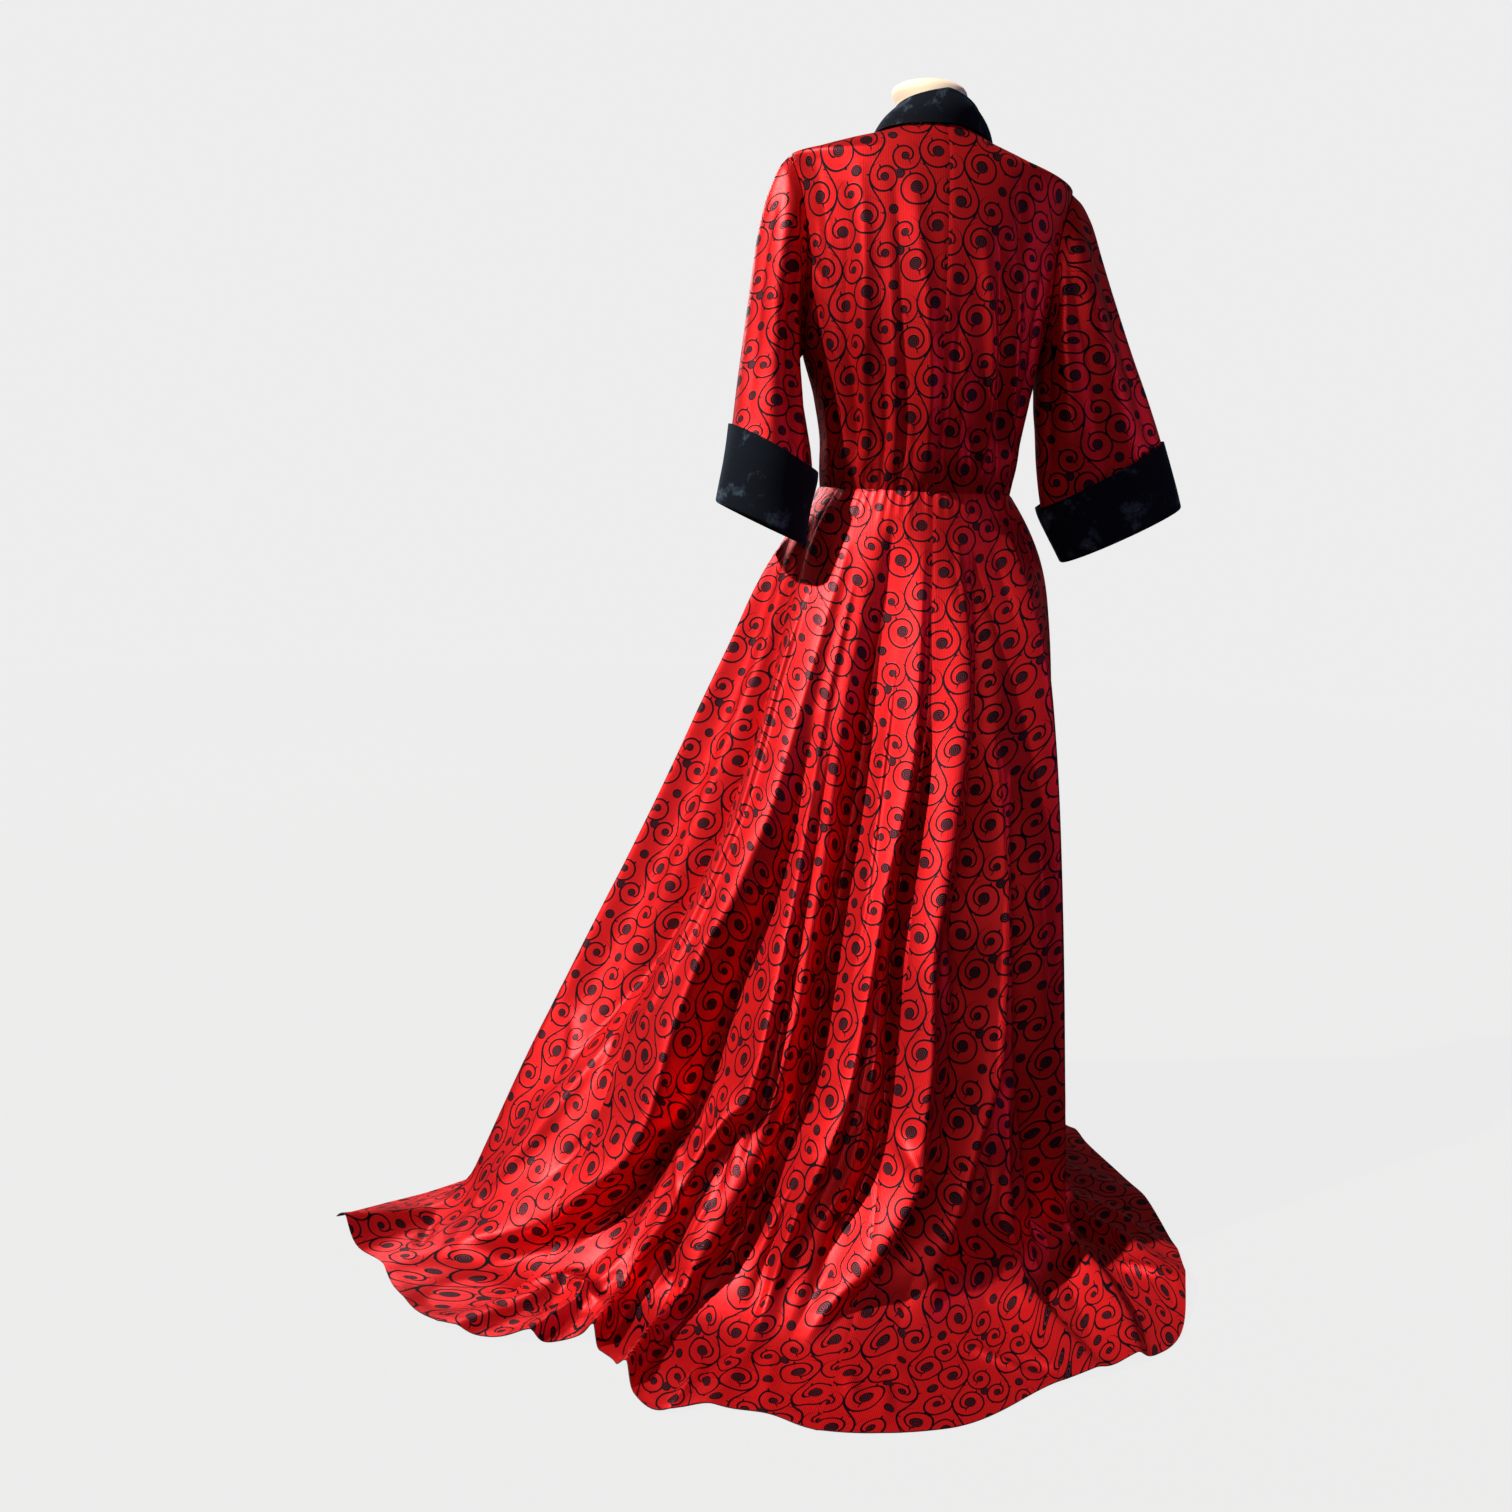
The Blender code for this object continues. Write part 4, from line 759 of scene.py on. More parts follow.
skirt = {
    "floorLift": 0.0004,
    "floorRest": 0.0008,
    "floorBend": 0.055,
    "bendSteps": 9,
    "heightSteps": 46,
    "kneeHeight": 0.4,
    "hipHeight": 0.72,
    "highHipHeight": 0.825,
    "lap": 7.4,
    "lapRise": (24, 9),
    "gatherLength": 0.05,
    "gatherShare": 0.6,
    "calmFloor": (0.01, 0.1),
    "backSeam": 62.0,
    "frontSeam": 122.0,
    # direction at the waist, reach at high hip, hip and knee, then direction and reach
    # where the cloth meets the floor and at the hem
    "plan": (
        (-180, 0.108, 0.132, 0.185, -180, 0.24, -180, 0.35),
        (-150, 0.122, 0.15, 0.188, -150, 0.23, -148, 0.32),
        (-120, 0.148, 0.172, 0.2, -120, 0.224, -116, 0.305),
        (-95, 0.172, 0.187, 0.197, -94, 0.218, -90, 0.306),
        (-78, 0.17, 0.187, 0.202, -72, 0.232, -61, 0.38),
        (-62, 0.156, 0.182, 0.222, -52, 0.266, -41, 0.463),
        (-45, 0.142, 0.176, 0.239, -34, 0.312, -26, 0.52),
        (-28, 0.129, 0.167, 0.25, -14, 0.36, -11, 0.522),
        (-12, 0.124, 0.16, 0.262, 3, 0.4, 4, 0.574),
        (0, 0.124, 0.16, 0.272, 14, 0.42, 16.5, 0.59),
        (8, 0.125, 0.162, 0.28, 19.8, 0.426, 21.5, 0.58),
        (16, 0.127, 0.165, 0.288, 25, 0.435, 27, 0.592),
        (24, 0.13, 0.169, 0.295, 30, 0.444, 31.5, 0.62),
        (30, 0.133, 0.173, 0.301, 34, 0.452, 35.5, 0.6),
        (36, 0.136, 0.177, 0.307, 38, 0.46, 39.5, 0.574),
        (44, 0.142, 0.183, 0.315, 43.5, 0.474, 43.5, 0.57),
        (50, 0.147, 0.188, 0.32, 47.5, 0.49, 47, 0.608),
        (56, 0.153, 0.192, 0.329, 51.8, 0.508, 51, 0.638),
        (62, 0.159, 0.195, 0.336, 56.3, 0.526, 55.5, 0.666),
        (70, 0.162, 0.196, 0.334, 62.5, 0.556, 62.5, 0.678),
        (76, 0.163, 0.193, 0.33, 67, 0.57, 66.8, 0.676),
        (83, 0.163, 0.192, 0.328, 72.5, 0.574, 72.4, 0.704),
        (88, 0.163, 0.192, 0.328, 76, 0.57, 75.4, 0.712),
        (92, 0.163, 0.192, 0.328, 78.5, 0.55, 78.4, 0.66),
        (97, 0.162, 0.191, 0.322, 81.5, 0.51, 81, 0.59),
        (104, 0.159, 0.19, 0.308, 87, 0.44, 86, 0.515),
        (122, 0.142, 0.172, 0.25, 108, 0.34, 106, 0.47),
        (150, 0.122, 0.148, 0.205, 144, 0.265, 143, 0.38),
        (180, 0.108, 0.132, 0.185, 180, 0.24, 180, 0.35),
    ),
    "foldLean": 1.8,
    "foldDepth": 1.3,
    # each ridge or trough: rows of share of the way down, direction at the waist, height,
    # half width in degrees
    "folds": (
        # the deep fold on the wearer's left edge, and the open flute at the train's tip
        ((0.05, 84, 0, 6), (0.16, 84, 18, 6), (0.3, 84, 28, 6), (0.5, 85, 30, 6), (0.66, 86, 22, 6),
         (0.8, 87, 8, 6), (0.88, 88, 0, 5)),
        ((0.84, 85.5, 0, 3.4), (0.9, 85.5, 9, 3.2), (0.95, 84.5, 18, 3), (1, 83.5, 27, 3)),
        # waves of the hem between the tip and the two flutes
        ((0.86, 69, 0, 3), (0.93, 69, 5, 2.8), (1, 68, 4, 2.6)),
        ((0.86, 57.5, 0, 2.4), (0.92, 58, 10, 2.2), (1, 59.5, 7, 2.4)),
        ((0.88, 51, 0, 1.8), (0.94, 51, 12, 1.7), (1, 50.5, 13, 1.7)),
        ((0.04, 67, 0, 6), (0.18, 68, -16, 6), (0.3, 66, -28, 5.5), (0.43, 67, -32, 5.5),
         (0.52, 70, -28, 5.5), (0.62, 74, -16, 5), (0.74, 78, 0, 5)),
        # the ridge that swings out to the tip
        ((0.06, 40, 0, 5), (0.2, 40, 9, 5), (0.3, 40, 14, 5), (0.36, 40, 17, 5), (0.43, 42, 20, 5.5),
         (0.49, 44, 22, 5.5), (0.55, 48, 23, 5), (0.64, 50, 24, 4.6), (0.7, 50, 24, 4.4),
         (0.75, 52.5, 23, 4.4), (0.79, 58.5, 22, 4.4), (0.83, 64, 20, 4.6), (0.87, 69, 17, 4.6),
         (0.91, 73, 13, 4.6), (0.96, 75, 8, 4.4), (1, 76, 4, 4)),
        ((0.12, 53, 0, 2.2), (0.2, 53, 5, 2.2), (0.36, 51, 7, 2.4), (0.5, 55, 7, 2.6), (0.62, 60, 0, 3)),
        ((0.6, 66, 0, 3), (0.7, 70, 7, 3), (0.8, 75, 8, 3), (0.9, 82, 0, 3)),
        ((0.26, 35, 0, 2.4), (0.42, 35.5, -11, 2.8), (0.53, 40, -19, 3), (0.62, 43, -24, 3.2),
         (0.7, 44, -25, 3.4), (0.77, 49, -24, 3.6), (0.83, 57, -20, 3.8), (0.88, 63, -14, 3.8),
         (0.94, 67, -8, 3.6), (1, 69, 0, 3.6)),
        # the cloth near the hem that bulges between the two, and the flat panel above it
        ((0.72, 43, 0, 2.5), (0.8, 46.5, 7, 3), (0.88, 50, 8, 3), (0.94, 51, 0, 3)),
        # ridges that end in the two flutes at the hem, and the creases between them
        ((0.1, 33, 0, 2.4), (0.2, 33, 4, 2.4), (0.34, 31.5, 5, 2.4), (0.47, 30, 9, 2.6),
         (0.6, 29.5, 16, 2.8), (0.65, 30.5, 18, 3), (0.7, 35, 21, 3), (0.74, 38, 23, 3),
         (0.82, 42, 24, 3), (0.88, 46, 22, 2.6), (0.93, 45.5, 20, 2), (1, 41.5, 20, 1.5)),
        ((0.26, 28.7, 0, 1.4), (0.4, 28, -7, 1.5), (0.55, 27.5, -9, 1.6), (0.66, 28.5, -6, 2),
         (0.74, 30, 0, 2)),
        ((0.1, 27, 0, 2.4), (0.2, 27, 3, 2.4), (0.32, 25.5, 6, 2.4), (0.41, 24, 7, 2.4),
         (0.52, 24, 10, 2.6), (0.6, 25, 12, 2.8), (0.7, 28, 0, 2.8)),
        ((0.62, 21, 0, 2.4), (0.67, 22.5, 12, 2.6), (0.72, 27, 18, 2.8), (0.78, 30.5, 21, 2.8),
         (0.86, 34.5, 22, 2.6), (0.92, 34.5, 21, 2), (1, 30.5, 20, 1.5)),
        ((0.84, 38.5, 0, 2), (0.9, 39.5, -12, 2), (0.96, 38, -12, 2), (1, 36.5, -6, 2)),
        # the deep trough, the ridge beside it and the purple trough on the back seam
        ((0.03, 19, 0, 6), (0.12, 19.5, -10, 6.6), (0.22, 20, -19, 7), (0.32, 20, -26, 7),
         (0.42, 20, -30, 6.4), (0.51, 20, -31, 5.4), (0.59, 19.5, -30, 4.6), (0.64, 20.5, -29, 3.8),
         (0.68, 23.5, -28, 3.4), (0.75, 27, -26, 3), (0.82, 30, -22, 2.8), (0.9, 31, -14, 2.6),
         (0.97, 27, -6, 2.6), (1, 26, 0, 3)),
        ((0.16, 12, 0, 1.4), (0.3, 12, 4, 1.5), (0.44, 12, 5, 1.5), (0.58, 13.5, 0, 1.6)),
        ((0.7, 15.5, 0, 2.2), (0.76, 19.5, -12, 2.4), (0.82, 22, -16, 2.4), (0.88, 22.5, -12, 2.6),
         (0.96, 20, 0, 3)),
        ((0.05, 4, 0, 3.4), (0.17, 4, 8, 3.4), (0.27, 4, 13, 3.6), (0.36, 6, 16, 3.4),
         (0.43, 8, 18, 3.2), (0.55, 9, 19, 3.2), (0.64, 10, 20, 3.2), (0.7, 12.5, 20, 3.2),
         (0.76, 16.5, 18, 3.4), (0.83, 18.5, 14, 3.8), (0.92, 17, 8, 4), (1, 16, 4, 4)),
        ((0.24, 0.5, 0, 1.8), (0.31, 1, -10, 2), (0.39, 2.5, -15, 2.2), (0.5, 3, -18, 2.4),
         (0.58, 1.5, -20, 2.6), (0.66, 0.5, -20, 2.8), (0.73, 3.5, -16, 2.8), (0.8, 8, -12, 3),
         (0.9, 11, 0, 3)),
        ((0.5, 6, 0, 1.2), (0.6, 5, 6, 1.3), (0.7, 6, 6, 1.4), (0.78, 11, 0, 1.5)),
        ((0.05, -12, 0, 4), (0.16, -12, 12, 4), (0.25, -10.5, 17, 4), (0.33, -8, 20, 3.8),
         (0.4, -6.5, 21, 3.6), (0.49, -4.5, 23, 3.4), (0.61, -6, 25, 3.4), (0.7, -6, 26, 3.4),
         (0.77, -2, 24, 3.4), (0.83, 4, 17, 3.4), (0.9, 8.5, 0, 3.6)),
        ((0.05, -20, 0, 3), (0.14, -20, -10, 3), (0.22, -19, -16, 3.2), (0.33, -16.5, -22, 3.4),
         (0.39, -14.5, -24, 3.4), (0.46, -12.5, -26, 3.4), (0.54, -14.5, -28, 3.6),
         (0.67, -14, -28, 3.4), (0.72, -11, -26, 3.4), (0.78, -5, -20, 3.2), (0.84, -1, -12, 3),
         (0.92, 3, 0, 3)),
        # ridge that ends in the corner where the cloth breaks on the floor
        ((0.26, -24.5, 0, 2), (0.36, -24, 12, 2.2), (0.47, -23.5, 16, 2.4), (0.54, -23, 19, 2.6),
         (0.62, -22, 20, 2.8), (0.7, -18, 17, 3), (0.78, -14, 11, 3.4), (0.88, -11, 0, 4)),
        ((0.64, -27, 0, 2.4), (0.73, -25, 14, 2.6), (0.82, -27.5, 18, 2.8), (0.9, -31, 15, 3),
         (1, -33, 6, 3.4)),
        ((0.3, -29, 0, 1.6), (0.42, -29.5, -10, 1.7), (0.51, -30, -15, 1.8), (0.6, -30.5, -20, 2),
         (0.7, -33, -24, 2.2), (0.78, -36.5, -20, 2.4), (0.86, -38.5, 0, 2.6)),
        ((0.03, -45, 0, 4.6), (0.1, -44, 10, 4.6), (0.19, -43, 18, 4.6), (0.33, -42, 21, 4.4),
         (0.45, -41, 21, 4), (0.55, -40, 21, 3.6), (0.64, -40, 21, 3.2), (0.75, -41.5, 21, 3),
         (0.81, -44, 21, 2.8), (0.87, -46, 19, 2.8), (0.94, -44, 15, 2.8), (1, -40, 10, 2.8)),
        ((0.36, -35.5, 0, 1.2), (0.5, -35.5, 4, 1.3), (0.64, -36, 0, 1.4)),
        # the wearer's right side
        ((0.08, -52, 0, 4), (0.4, -52, -7, 3), (0.66, -53, -12, 3), (0.8, -56, -12, 3),
         (0.92, -58, 0, 3)),
        ((0.08, -61, 0, 4.5), (0.4, -60, 9, 3.6), (0.66, -60, 12, 3.4), (0.82, -62, 14, 3.6),
         (1, -62, 9, 4)),
        ((0.3, -70, 0, 3), (0.55, -69, -7, 3), (0.78, -70, -8, 3), (0.92, -71, 0, 3)),
        ((0.15, -78, 0, 6), (0.45, -78, 5, 5), (0.7, -78, 6, 4), (0.92, -78, 0, 4)),
        ((0.72, -73, 0, 3), (0.84, -71, 8, 3.4), (0.93, -69, 9, 4), (1, -68, 6, 4)),
        ((0.8, -84, 0, 3), (0.9, -82, 6, 4), (1, -80, 5, 5)),
        ((0.12, -98, 0, 7), (0.6, -98, 12, 7), (1, -98, 8, 7)),
        ((0.2, -108, 0, 4), (0.6, -108, -8, 4), (0.9, -107, 0, 4)),
        ((0.15, -119, 0, 5), (0.55, -120, 9, 5), (0.8, -119, 12, 5), (1, -118, 8, 5)),
        ((0.2, -129, 0, 4), (0.7, -130, -12, 5), (0.94, -129, 0, 5)),
        ((0.12, -141, 0, 6), (0.6, -141, 15, 6), (1, -140, 12, 6)),
        ((0.2, -152, 0, 3), (0.6, -152, -9, 4), (0.92, -151, 0, 4)),
        ((0.2, -162, 0, 4), (0.55, -161, 9, 4), (0.85, -161, 10, 5), (1, -162, 6, 5)),
        # the front and the wearer's left side
        ((0.2, 159, 0, 4), (0.6, 159, 9, 5), (0.85, 160, 12, 5), (1, 160, 8, 5)),
        ((0.2, 149, 0, 4), (0.6, 149, -9, 4), (0.92, 150, 0, 4)),
        ((0.12, 136, 0, 7), (0.6, 136, 16, 7), (1, 137, 12, 7)),
        ((0.2, 122, 0, 4), (0.6, 123, -10, 5), (0.9, 123, 0, 5)),
        ((0.15, 112, 0, 5), (0.6, 112, 9, 5), (0.9, 111, 10, 5), (1, 110, 6, 5)),
        ((0.2, 101, 0, 4), (0.6, 101, -10, 5), (0.8, 101, -12, 5), (0.92, 100, 0, 5)),
    ),
    # short creases where the cloth bends on to the floor and along the hem: share and
    # direction at one end and the other, height, half width
    "creases": (
        (0.905, 62, 0.878, 56, 15, 9), (0.876, 57, 0.95, 46.8, 16, 9), (0.955, 60, 0.925, 53, -7, 9),
        (0.86, 79, 0.94, 72.5, 5, 7), (0.9, 85, 0.96, 77, -5, 7), (0.62, 84, 0.72, 74, 4, 9),
        (0.55, 70, 0.68, 66, -5, 10), (0.7, 60, 0.8, 67, -5, 8), (0.72, 47, 0.79, 40.5, 6, 6),
        (0.68, 40, 0.76, 43, 5, 6), (0.77, 34.5, 0.83, 37.5, 6, 5), (0.7, 33, 0.76, 33.5, -5, 5),
        (0.88, 28.5, 0.98, 25, 8, 6), (0.93, 23, 1, 21.5, 7, 7), (0.8, 24.5, 0.9, 21.5, 6, 7),
        (0.9, 13, 0.99, 9, 4, 9), (0.56, 13, 0.64, 15.5, 4, 7), (0.84, 1, 0.96, -3, 7, 7),
        (0.86, -3.5, 0.97, -8.5, -6, 8), (0.88, -8, 0.99, -6, 4, 9), (0.66, -1.5, 0.72, -8.5, 5, 6),
        (0.64, -24.5, 0.8, -17, 6, 7), (0.7, -21.5, 0.86, -22, -7, 7), (0.9, -17, 0.97, -24, 7, 7),
        (0.93, -21, 0.99, -28, -6, 7), (0.74, -31, 0.83, -35, 5, 8), (0.83, -52, 0.92, -47, 6, 9),
        (0.88, -40, 0.98, -34.5, -6, 8), (0.8, -66, 0.93, -61, 6, 10), (0.9, -54, 0.98, -60, 6, 8),
        (0.86, -77, 0.95, -68, 5, 10), (0.05, 66, 0.16, 60, -2, 6), (0.05, 45, 0.13, 41, -1.8, 6),
        (0.04, 21, 0.13, 18, -1.8, 5), (0.04, -9, 0.14, -11, -1.8, 6), (0.05, -33, 0.15, -36, -2, 6),
    ),
    # the turned-up hem: its depth and how far it stands out
    "hemDepth": 0.016,
    "hemStep": 0.0007,
}


def roundPlan():
    # the plan once round, with three more rows before and after it
    plan = np.array(skirt["plan"])
    before, after = plan[-4:-1].copy(), plan[1:4].copy()
    before[:, (0, 4, 6)] -= 360.0
    after[:, (0, 4, 6)] += 360.0
    return np.concatenate([before, plan, after])


skirtPlan = roundPlan()


def skirtPath(direction):
    # the way of the cloth in one direction, from the waist down to the floor and on to the hem
    high, hip, knee, floorAngle, floorReach, hemAngle, hemReach = [
        float(curveThrough(skirtPlan[:, 0], column, direction)) for column in skirtPlan.T[1:]]
    heights = np.linspace(waistHeight, 0.0, skirt["heightSteps"])
    waist = bodiceBase(direction, 0.0)
    waistAngle = math.degrees(math.atan2(waist[0], waist[1]))
    waistAngle += 360.0 * round((direction - waistAngle) / 360.0)
    knots = (0.0, skirt["kneeHeight"], skirt["hipHeight"], skirt["highHipHeight"], waistHeight)
    reach = curveThrough(knots, (floorReach, knee, hip, high, math.hypot(waist[0], waist[1])), heights)
    turn = np.radians(waistAngle + (floorAngle - waistAngle) * (waistHeight - heights) / waistHeight)
    reach = np.append(reach, hemReach)
    turn = np.append(turn, math.radians(hemAngle))
    return np.stack([reach * np.sin(turn), reach * np.cos(turn), np.append(heights, 0.0)], axis=-1)


def skirtBase(angle, share):
    # places on the paths, with the bend at the floor rounded by averaging along the path
    angle, share = np.broadcast_arrays(np.asarray(angle, float), np.asarray(share, float))
    directions, inverse = np.unique(np.round(angle, 6), return_inverse=True)
    inverse = inverse.reshape(angle.shape)
    result = np.zeros(angle.shape + (3,))
    windows = np.linspace(-1.0, 1.0, skirt["bendSteps"])
    for i, direction in enumerate(directions):
        path = skirtPath(direction)
        lengths = arcLengths(path, 0)
        chosen = inverse == i
        way = share[chosen] * lengths[-1]
        point = np.zeros((way.size, 3))
        firstWay = (path[1] - path[0]) / lengths[1]
        lastWay = (path[-1] - path[-2]) / (lengths[-1] - lengths[-2])
        for window in windows:
            spot = way + window * skirt["floorBend"]
            within = np.clip(spot, 0.0, lengths[-1])
            for axis in range(3):
                point[:, axis] += np.interp(within, lengths, path[:, axis])
            point += np.outer(np.minimum(spot, 0.0), firstWay)
            point += np.outer(np.maximum(spot - lengths[-1], 0.0), lastWay)
        result[chosen] = point / len(windows)
    result[..., 2] += skirt["floorRest"] + skirt["floorLift"]
    return result


skirtCreases = creaseLines(skirt["creases"], skirtBase)


def skirtGore(node, low, high, columns, rows, seams, grainFrom):
    # one more column on each side gives both gores of a seam the same edge
    step = (high - low) / (columns - 1)
    share = np.linspace(0.0, 1.0, rows)
    angle = np.linspace(low - step, high + step, columns + 2)[:, None]
    angle = np.broadcast_to(angle, (columns + 2, rows))
    base = skirtBase(angle, share[None, :])
    outward = gridNormals(base)

    def gone(diesAt):
        return easeBetween(0.0, skirt["gatherLength"] * diesAt, share)

    lift = foldLift(skirt["folds"], skirt["foldLean"], angle, share) * skirt["foldDepth"]
    lift += creaseLift(skirtCreases, base)
    lift += skirt["gatherShare"] * gatherLift(angle, gone)
    lift = np.where(lift < 0, lift * easeBetween(*skirt["calmFloor"], base[..., 2]), lift)
    if node == "front_skirt_right":
        fromFront = np.abs(turnDifference(angle, 180.0))
        lift = lift + bodice["lapStep"] * easeBetween(*skirt["lapRise"], fromFront)
    points = base + outward * lift[..., None]
    along = arcLengths(points, 1)
    turned = np.where(along[:, -1:] - along < skirt["hemDepth"], skirt["hemStep"], 0.0)
    points = points + gridNormals(points) * turned[..., None]
    facing = gridNormals(points)
    points = sinkSeams(points[1:-1], facing[1:-1], *seams)
    points[..., 2] = np.maximum(points[..., 2], clothThickness / 2 + skirt["floorLift"])
    points[:, 0, 2] = waistHeight
    across = arcLengths(points, 0)
    flat = np.stack([across - across[grainFrom], arcLengths(points, 1)], axis=-1)
    piece = layGrid(node + "_cloth", points, outward[1:-1], flat, brocadeCloths, clothThickness)
    finishSheet(piece, node)


backSeam, frontSeam, lapEnd = skirt["backSeam"], skirt["frontSeam"], 180.0 + skirt["lap"]
# direction of both edges, grid columns and rows, which edges are sewn, and the column that
# the pattern is set to
skirtGores = {
    "back_skirt_left": (0.0, backSeam, 200, 240, (True, True), 0),
    "back_skirt_right": (-backSeam, 0.0, 170, 230, (True, True), -1),
    "side_skirt_left": (backSeam, frontSeam, 120, 200, (True, True), 60),
    "side_skirt_right": (-frontSeam, -backSeam, 80, 160, (True, True), 40),
    "front_skirt_left": (frontSeam, lapEnd, 70, 130, (True, False), -1),
    "front_skirt_right": (-lapEnd, -frontSeam, 70, 130, (False, True), 0),
}
for node, settings in skirtGores.items():
    skirtGore(node, *settings)
print("skirt laid")

# Sleeves and cuffs

sleeves = {
    # across and height of the top point and of the underarm point, half depth, shift
    # towards +Y, for each ring
    "left": (
        (0.174, 1.285, 0.147, 1.06, 0.04, 0),
        (0.182, 1.2755, 0.152, 1.05, 0.046, 0),
        (0.196, 1.24, 0.152, 1.032, 0.053, 0.002),
        (0.207, 1.19, 0.148, 1.007, 0.058, 0.004),
        (0.214, 1.135, 0.143, 0.983, 0.06, 0.01),
        (0.221, 1.075, 0.139, 0.96, 0.059, 0.019),
        (0.228, 1.018, 0.136, 0.937, 0.058, 0.03),
        (0.234, 0.965, 0.135, 0.913, 0.056, 0.042),
        (0.241, 0.925, 0.143, 0.873, 0.05, 0.058),
        (0.25, 0.88, 0.147, 0.835, 0.046, 0.072),
    ),
    "right": (
        (0.174, 1.263, 0.148, 1.06, 0.04, 0),
        (0.183, 1.254, 0.151, 1.05, 0.045, 0.002),
        (0.197, 1.23, 0.151, 1.028, 0.048, 0.005),
        (0.214, 1.188, 0.151, 1.004, 0.048, 0.009),
        (0.236, 1.135, 0.153, 0.978, 0.046, 0.013),
        (0.262, 1.075, 0.155, 0.946, 0.043, 0.017),
        (0.288, 1.02, 0.159, 0.914, 0.039, 0.02),
        (0.312, 0.968, 0.165, 0.884, 0.036, 0.022),
        (0.328, 0.931, 0.18, 0.853, 0.034, 0.022),
        (0.343, 0.895, 0.197, 0.822, 0.033, 0.022),
    ),
    "overlap": 0.6,
    "headLift": 0.0013,
    "blendRings": 4.0,
    "calmRings": 0.8,
    "cuffTop": 6.9,
    "cuffFlare": 0.003,
    "cuffClear": 0.0025,
    "cuffInner": 0.0022,
    "cuffInside": 0.45,
    "cuffRoll": 0.0024,
    "cuffRollTurns": (30, 60, 90, 120, 150),
    # waves round the cuff, their height and how far a wave turns from ring to ring
    "cuffWaves": 3,
    "cuffWave": 0.0012,
    "cuffWaveTurn": 40.0,
    "columns": 111,
    "rows": 110,
    "cuffRows": (30, 8),
    "patternStart": 0.6,
    # each ridge or trough: rows of ring, turn round the sleeve, height, half width in degrees
    "leftFolds": (
        ((0.6, 62, 0, 12), (2, 66, 4, 12), (4, 72, 4, 12), (6.5, 78, 3, 14), (9, 80, 2, 14)),
        ((0.8, 92, 0, 9), (2.2, 95, -4, 9), (4.2, 100, -4, 10), (6.8, 104, -2, 12), (8.5, 105, 0, 12)),
        ((1.2, 118, 0, 9), (2.6, 120, 4, 10), (4.6, 124, 4, 10), (6.8, 128, 0, 12)),
        ((1, 38, 0, 10), (2.6, 36, -3, 10), (5, 40, -3, 12), (7.5, 44, 0, 12)),
        ((0.6, 14, 0, 12), (2.5, 12, 3, 12), (5.5, 14, 2, 14), (8, 14, 0, 14)),
        ((1, 145, 0, 10), (2.6, 146, -4, 9), (4.4, 150, -3, 10), (6.5, 152, 0, 10)),
        ((1, 240, 0, 14), (3, 246, 4, 14), (6, 250, 3, 14), (8.5, 250, 0, 14)),
        ((1, 290, 0, 14), (3, 292, -4, 12), (6, 296, -3, 12), (8.5, 298, 0, 12)),
        ((1, 325, 0, 14), (3.4, 326, 3, 14), (6.6, 328, 0, 14)),
    ),
    "rightFolds": (
        ((0.6, 58, 0, 12), (2, 60, 4, 12), (4, 62, 4, 14), (6.5, 64, 3, 14), (9, 66, 2, 14)),
        ((0.8, 86, 0, 10), (2.2, 86, -4, 10), (4.2, 88, -5, 11), (6.8, 92, -3, 12), (8.8, 94, 0, 12)),
        ((1.2, 112, 0, 9), (2.6, 112, 4, 10), (4.6, 116, 4, 11), (7.4, 120, 0, 12)),
        ((1, 34, 0, 10), (2.6, 34, -3, 10), (5, 38, -4, 12), (7.8, 40, 0, 12)),
        ((0.6, 12, 0, 12), (2.5, 10, 3, 12), (5.5, 12, 3, 14), (8, 14, 0, 14)),
        ((1, 142, 0, 10), (2.6, 144, -4, 9), (4.4, 148, -4, 10), (6.5, 150, 0, 10)),
        ((1, 242, 0, 14), (3, 246, 4, 14), (6, 250, 3, 14), (8.5, 250, 0, 14)),
        ((1, 288, 0, 14), (3, 292, -4, 12), (6, 294, -3, 12), (8.5, 296, 0, 12)),
        ((1, 322, 0, 14), (3.4, 324, 3, 14), (6.6, 326, 0, 14)),
    ),
}
# once round a sleeve from the underarm, where 0 is its top line, 90 its back, 180 the
# underarm and 270 its front
sleeveTurns = np.linspace(180.0, 540.0, sleeves["columns"])[:, None]


def sleeveStart(side, turn):
    # where the sleeve's head meets the armhole, lying just over the bodice's edge
    turn = np.asarray(turn, float) % 360.0
    back = turn <= 180.0
    down = np.where(back, turn, 360.0 - turn) / 180.0
    low, high = bodice["underarmLevel"], bodice["shoulderLevel"]
    level = low + (high - low) * (1 + np.cos(math.pi * down)) / 2
    edge = armholeAngle(level) - sleeves["overlap"]
    angle = side * np.where(back, edge, 180.0 - edge)
    outward = surfaceNormal(bodiceBase, angle, level)
    return (bodiceBase(angle, level) + outward * sleeves["headLift"]) * np.array([side, 1.0, 1.0])


def sleeveRing(columns, angle):
    topX, topZ, underX, underZ, halfDepth, shift = columns
    x = (topX + underX) / 2 + (topX - underX) / 2 * np.cos(angle)
    y = shift + halfDepth * np.sin(angle)
    z = (topZ + underZ) / 2 + (topZ - underZ) / 2 * np.cos(angle)
    return np.stack([x, y, z], axis=-1)


def sleeveSurface(sideName, side, turn, ring):
    rings = np.array(sleeves[sideName])
    turn, ring = np.broadcast_arrays(np.asarray(turn, float), np.asarray(ring, float))
    angle = np.radians(turn)
    point = sleeveRing([curveThrough(np.arange(len(rings)), column, ring) for column in rings.T], angle)
    stays = 1 - easeBetween(0.0, sleeves["blendRings"], ring)
    return point + (sleeveStart(side, turn) - sleeveRing(rings[0], angle)) * stays[..., None]


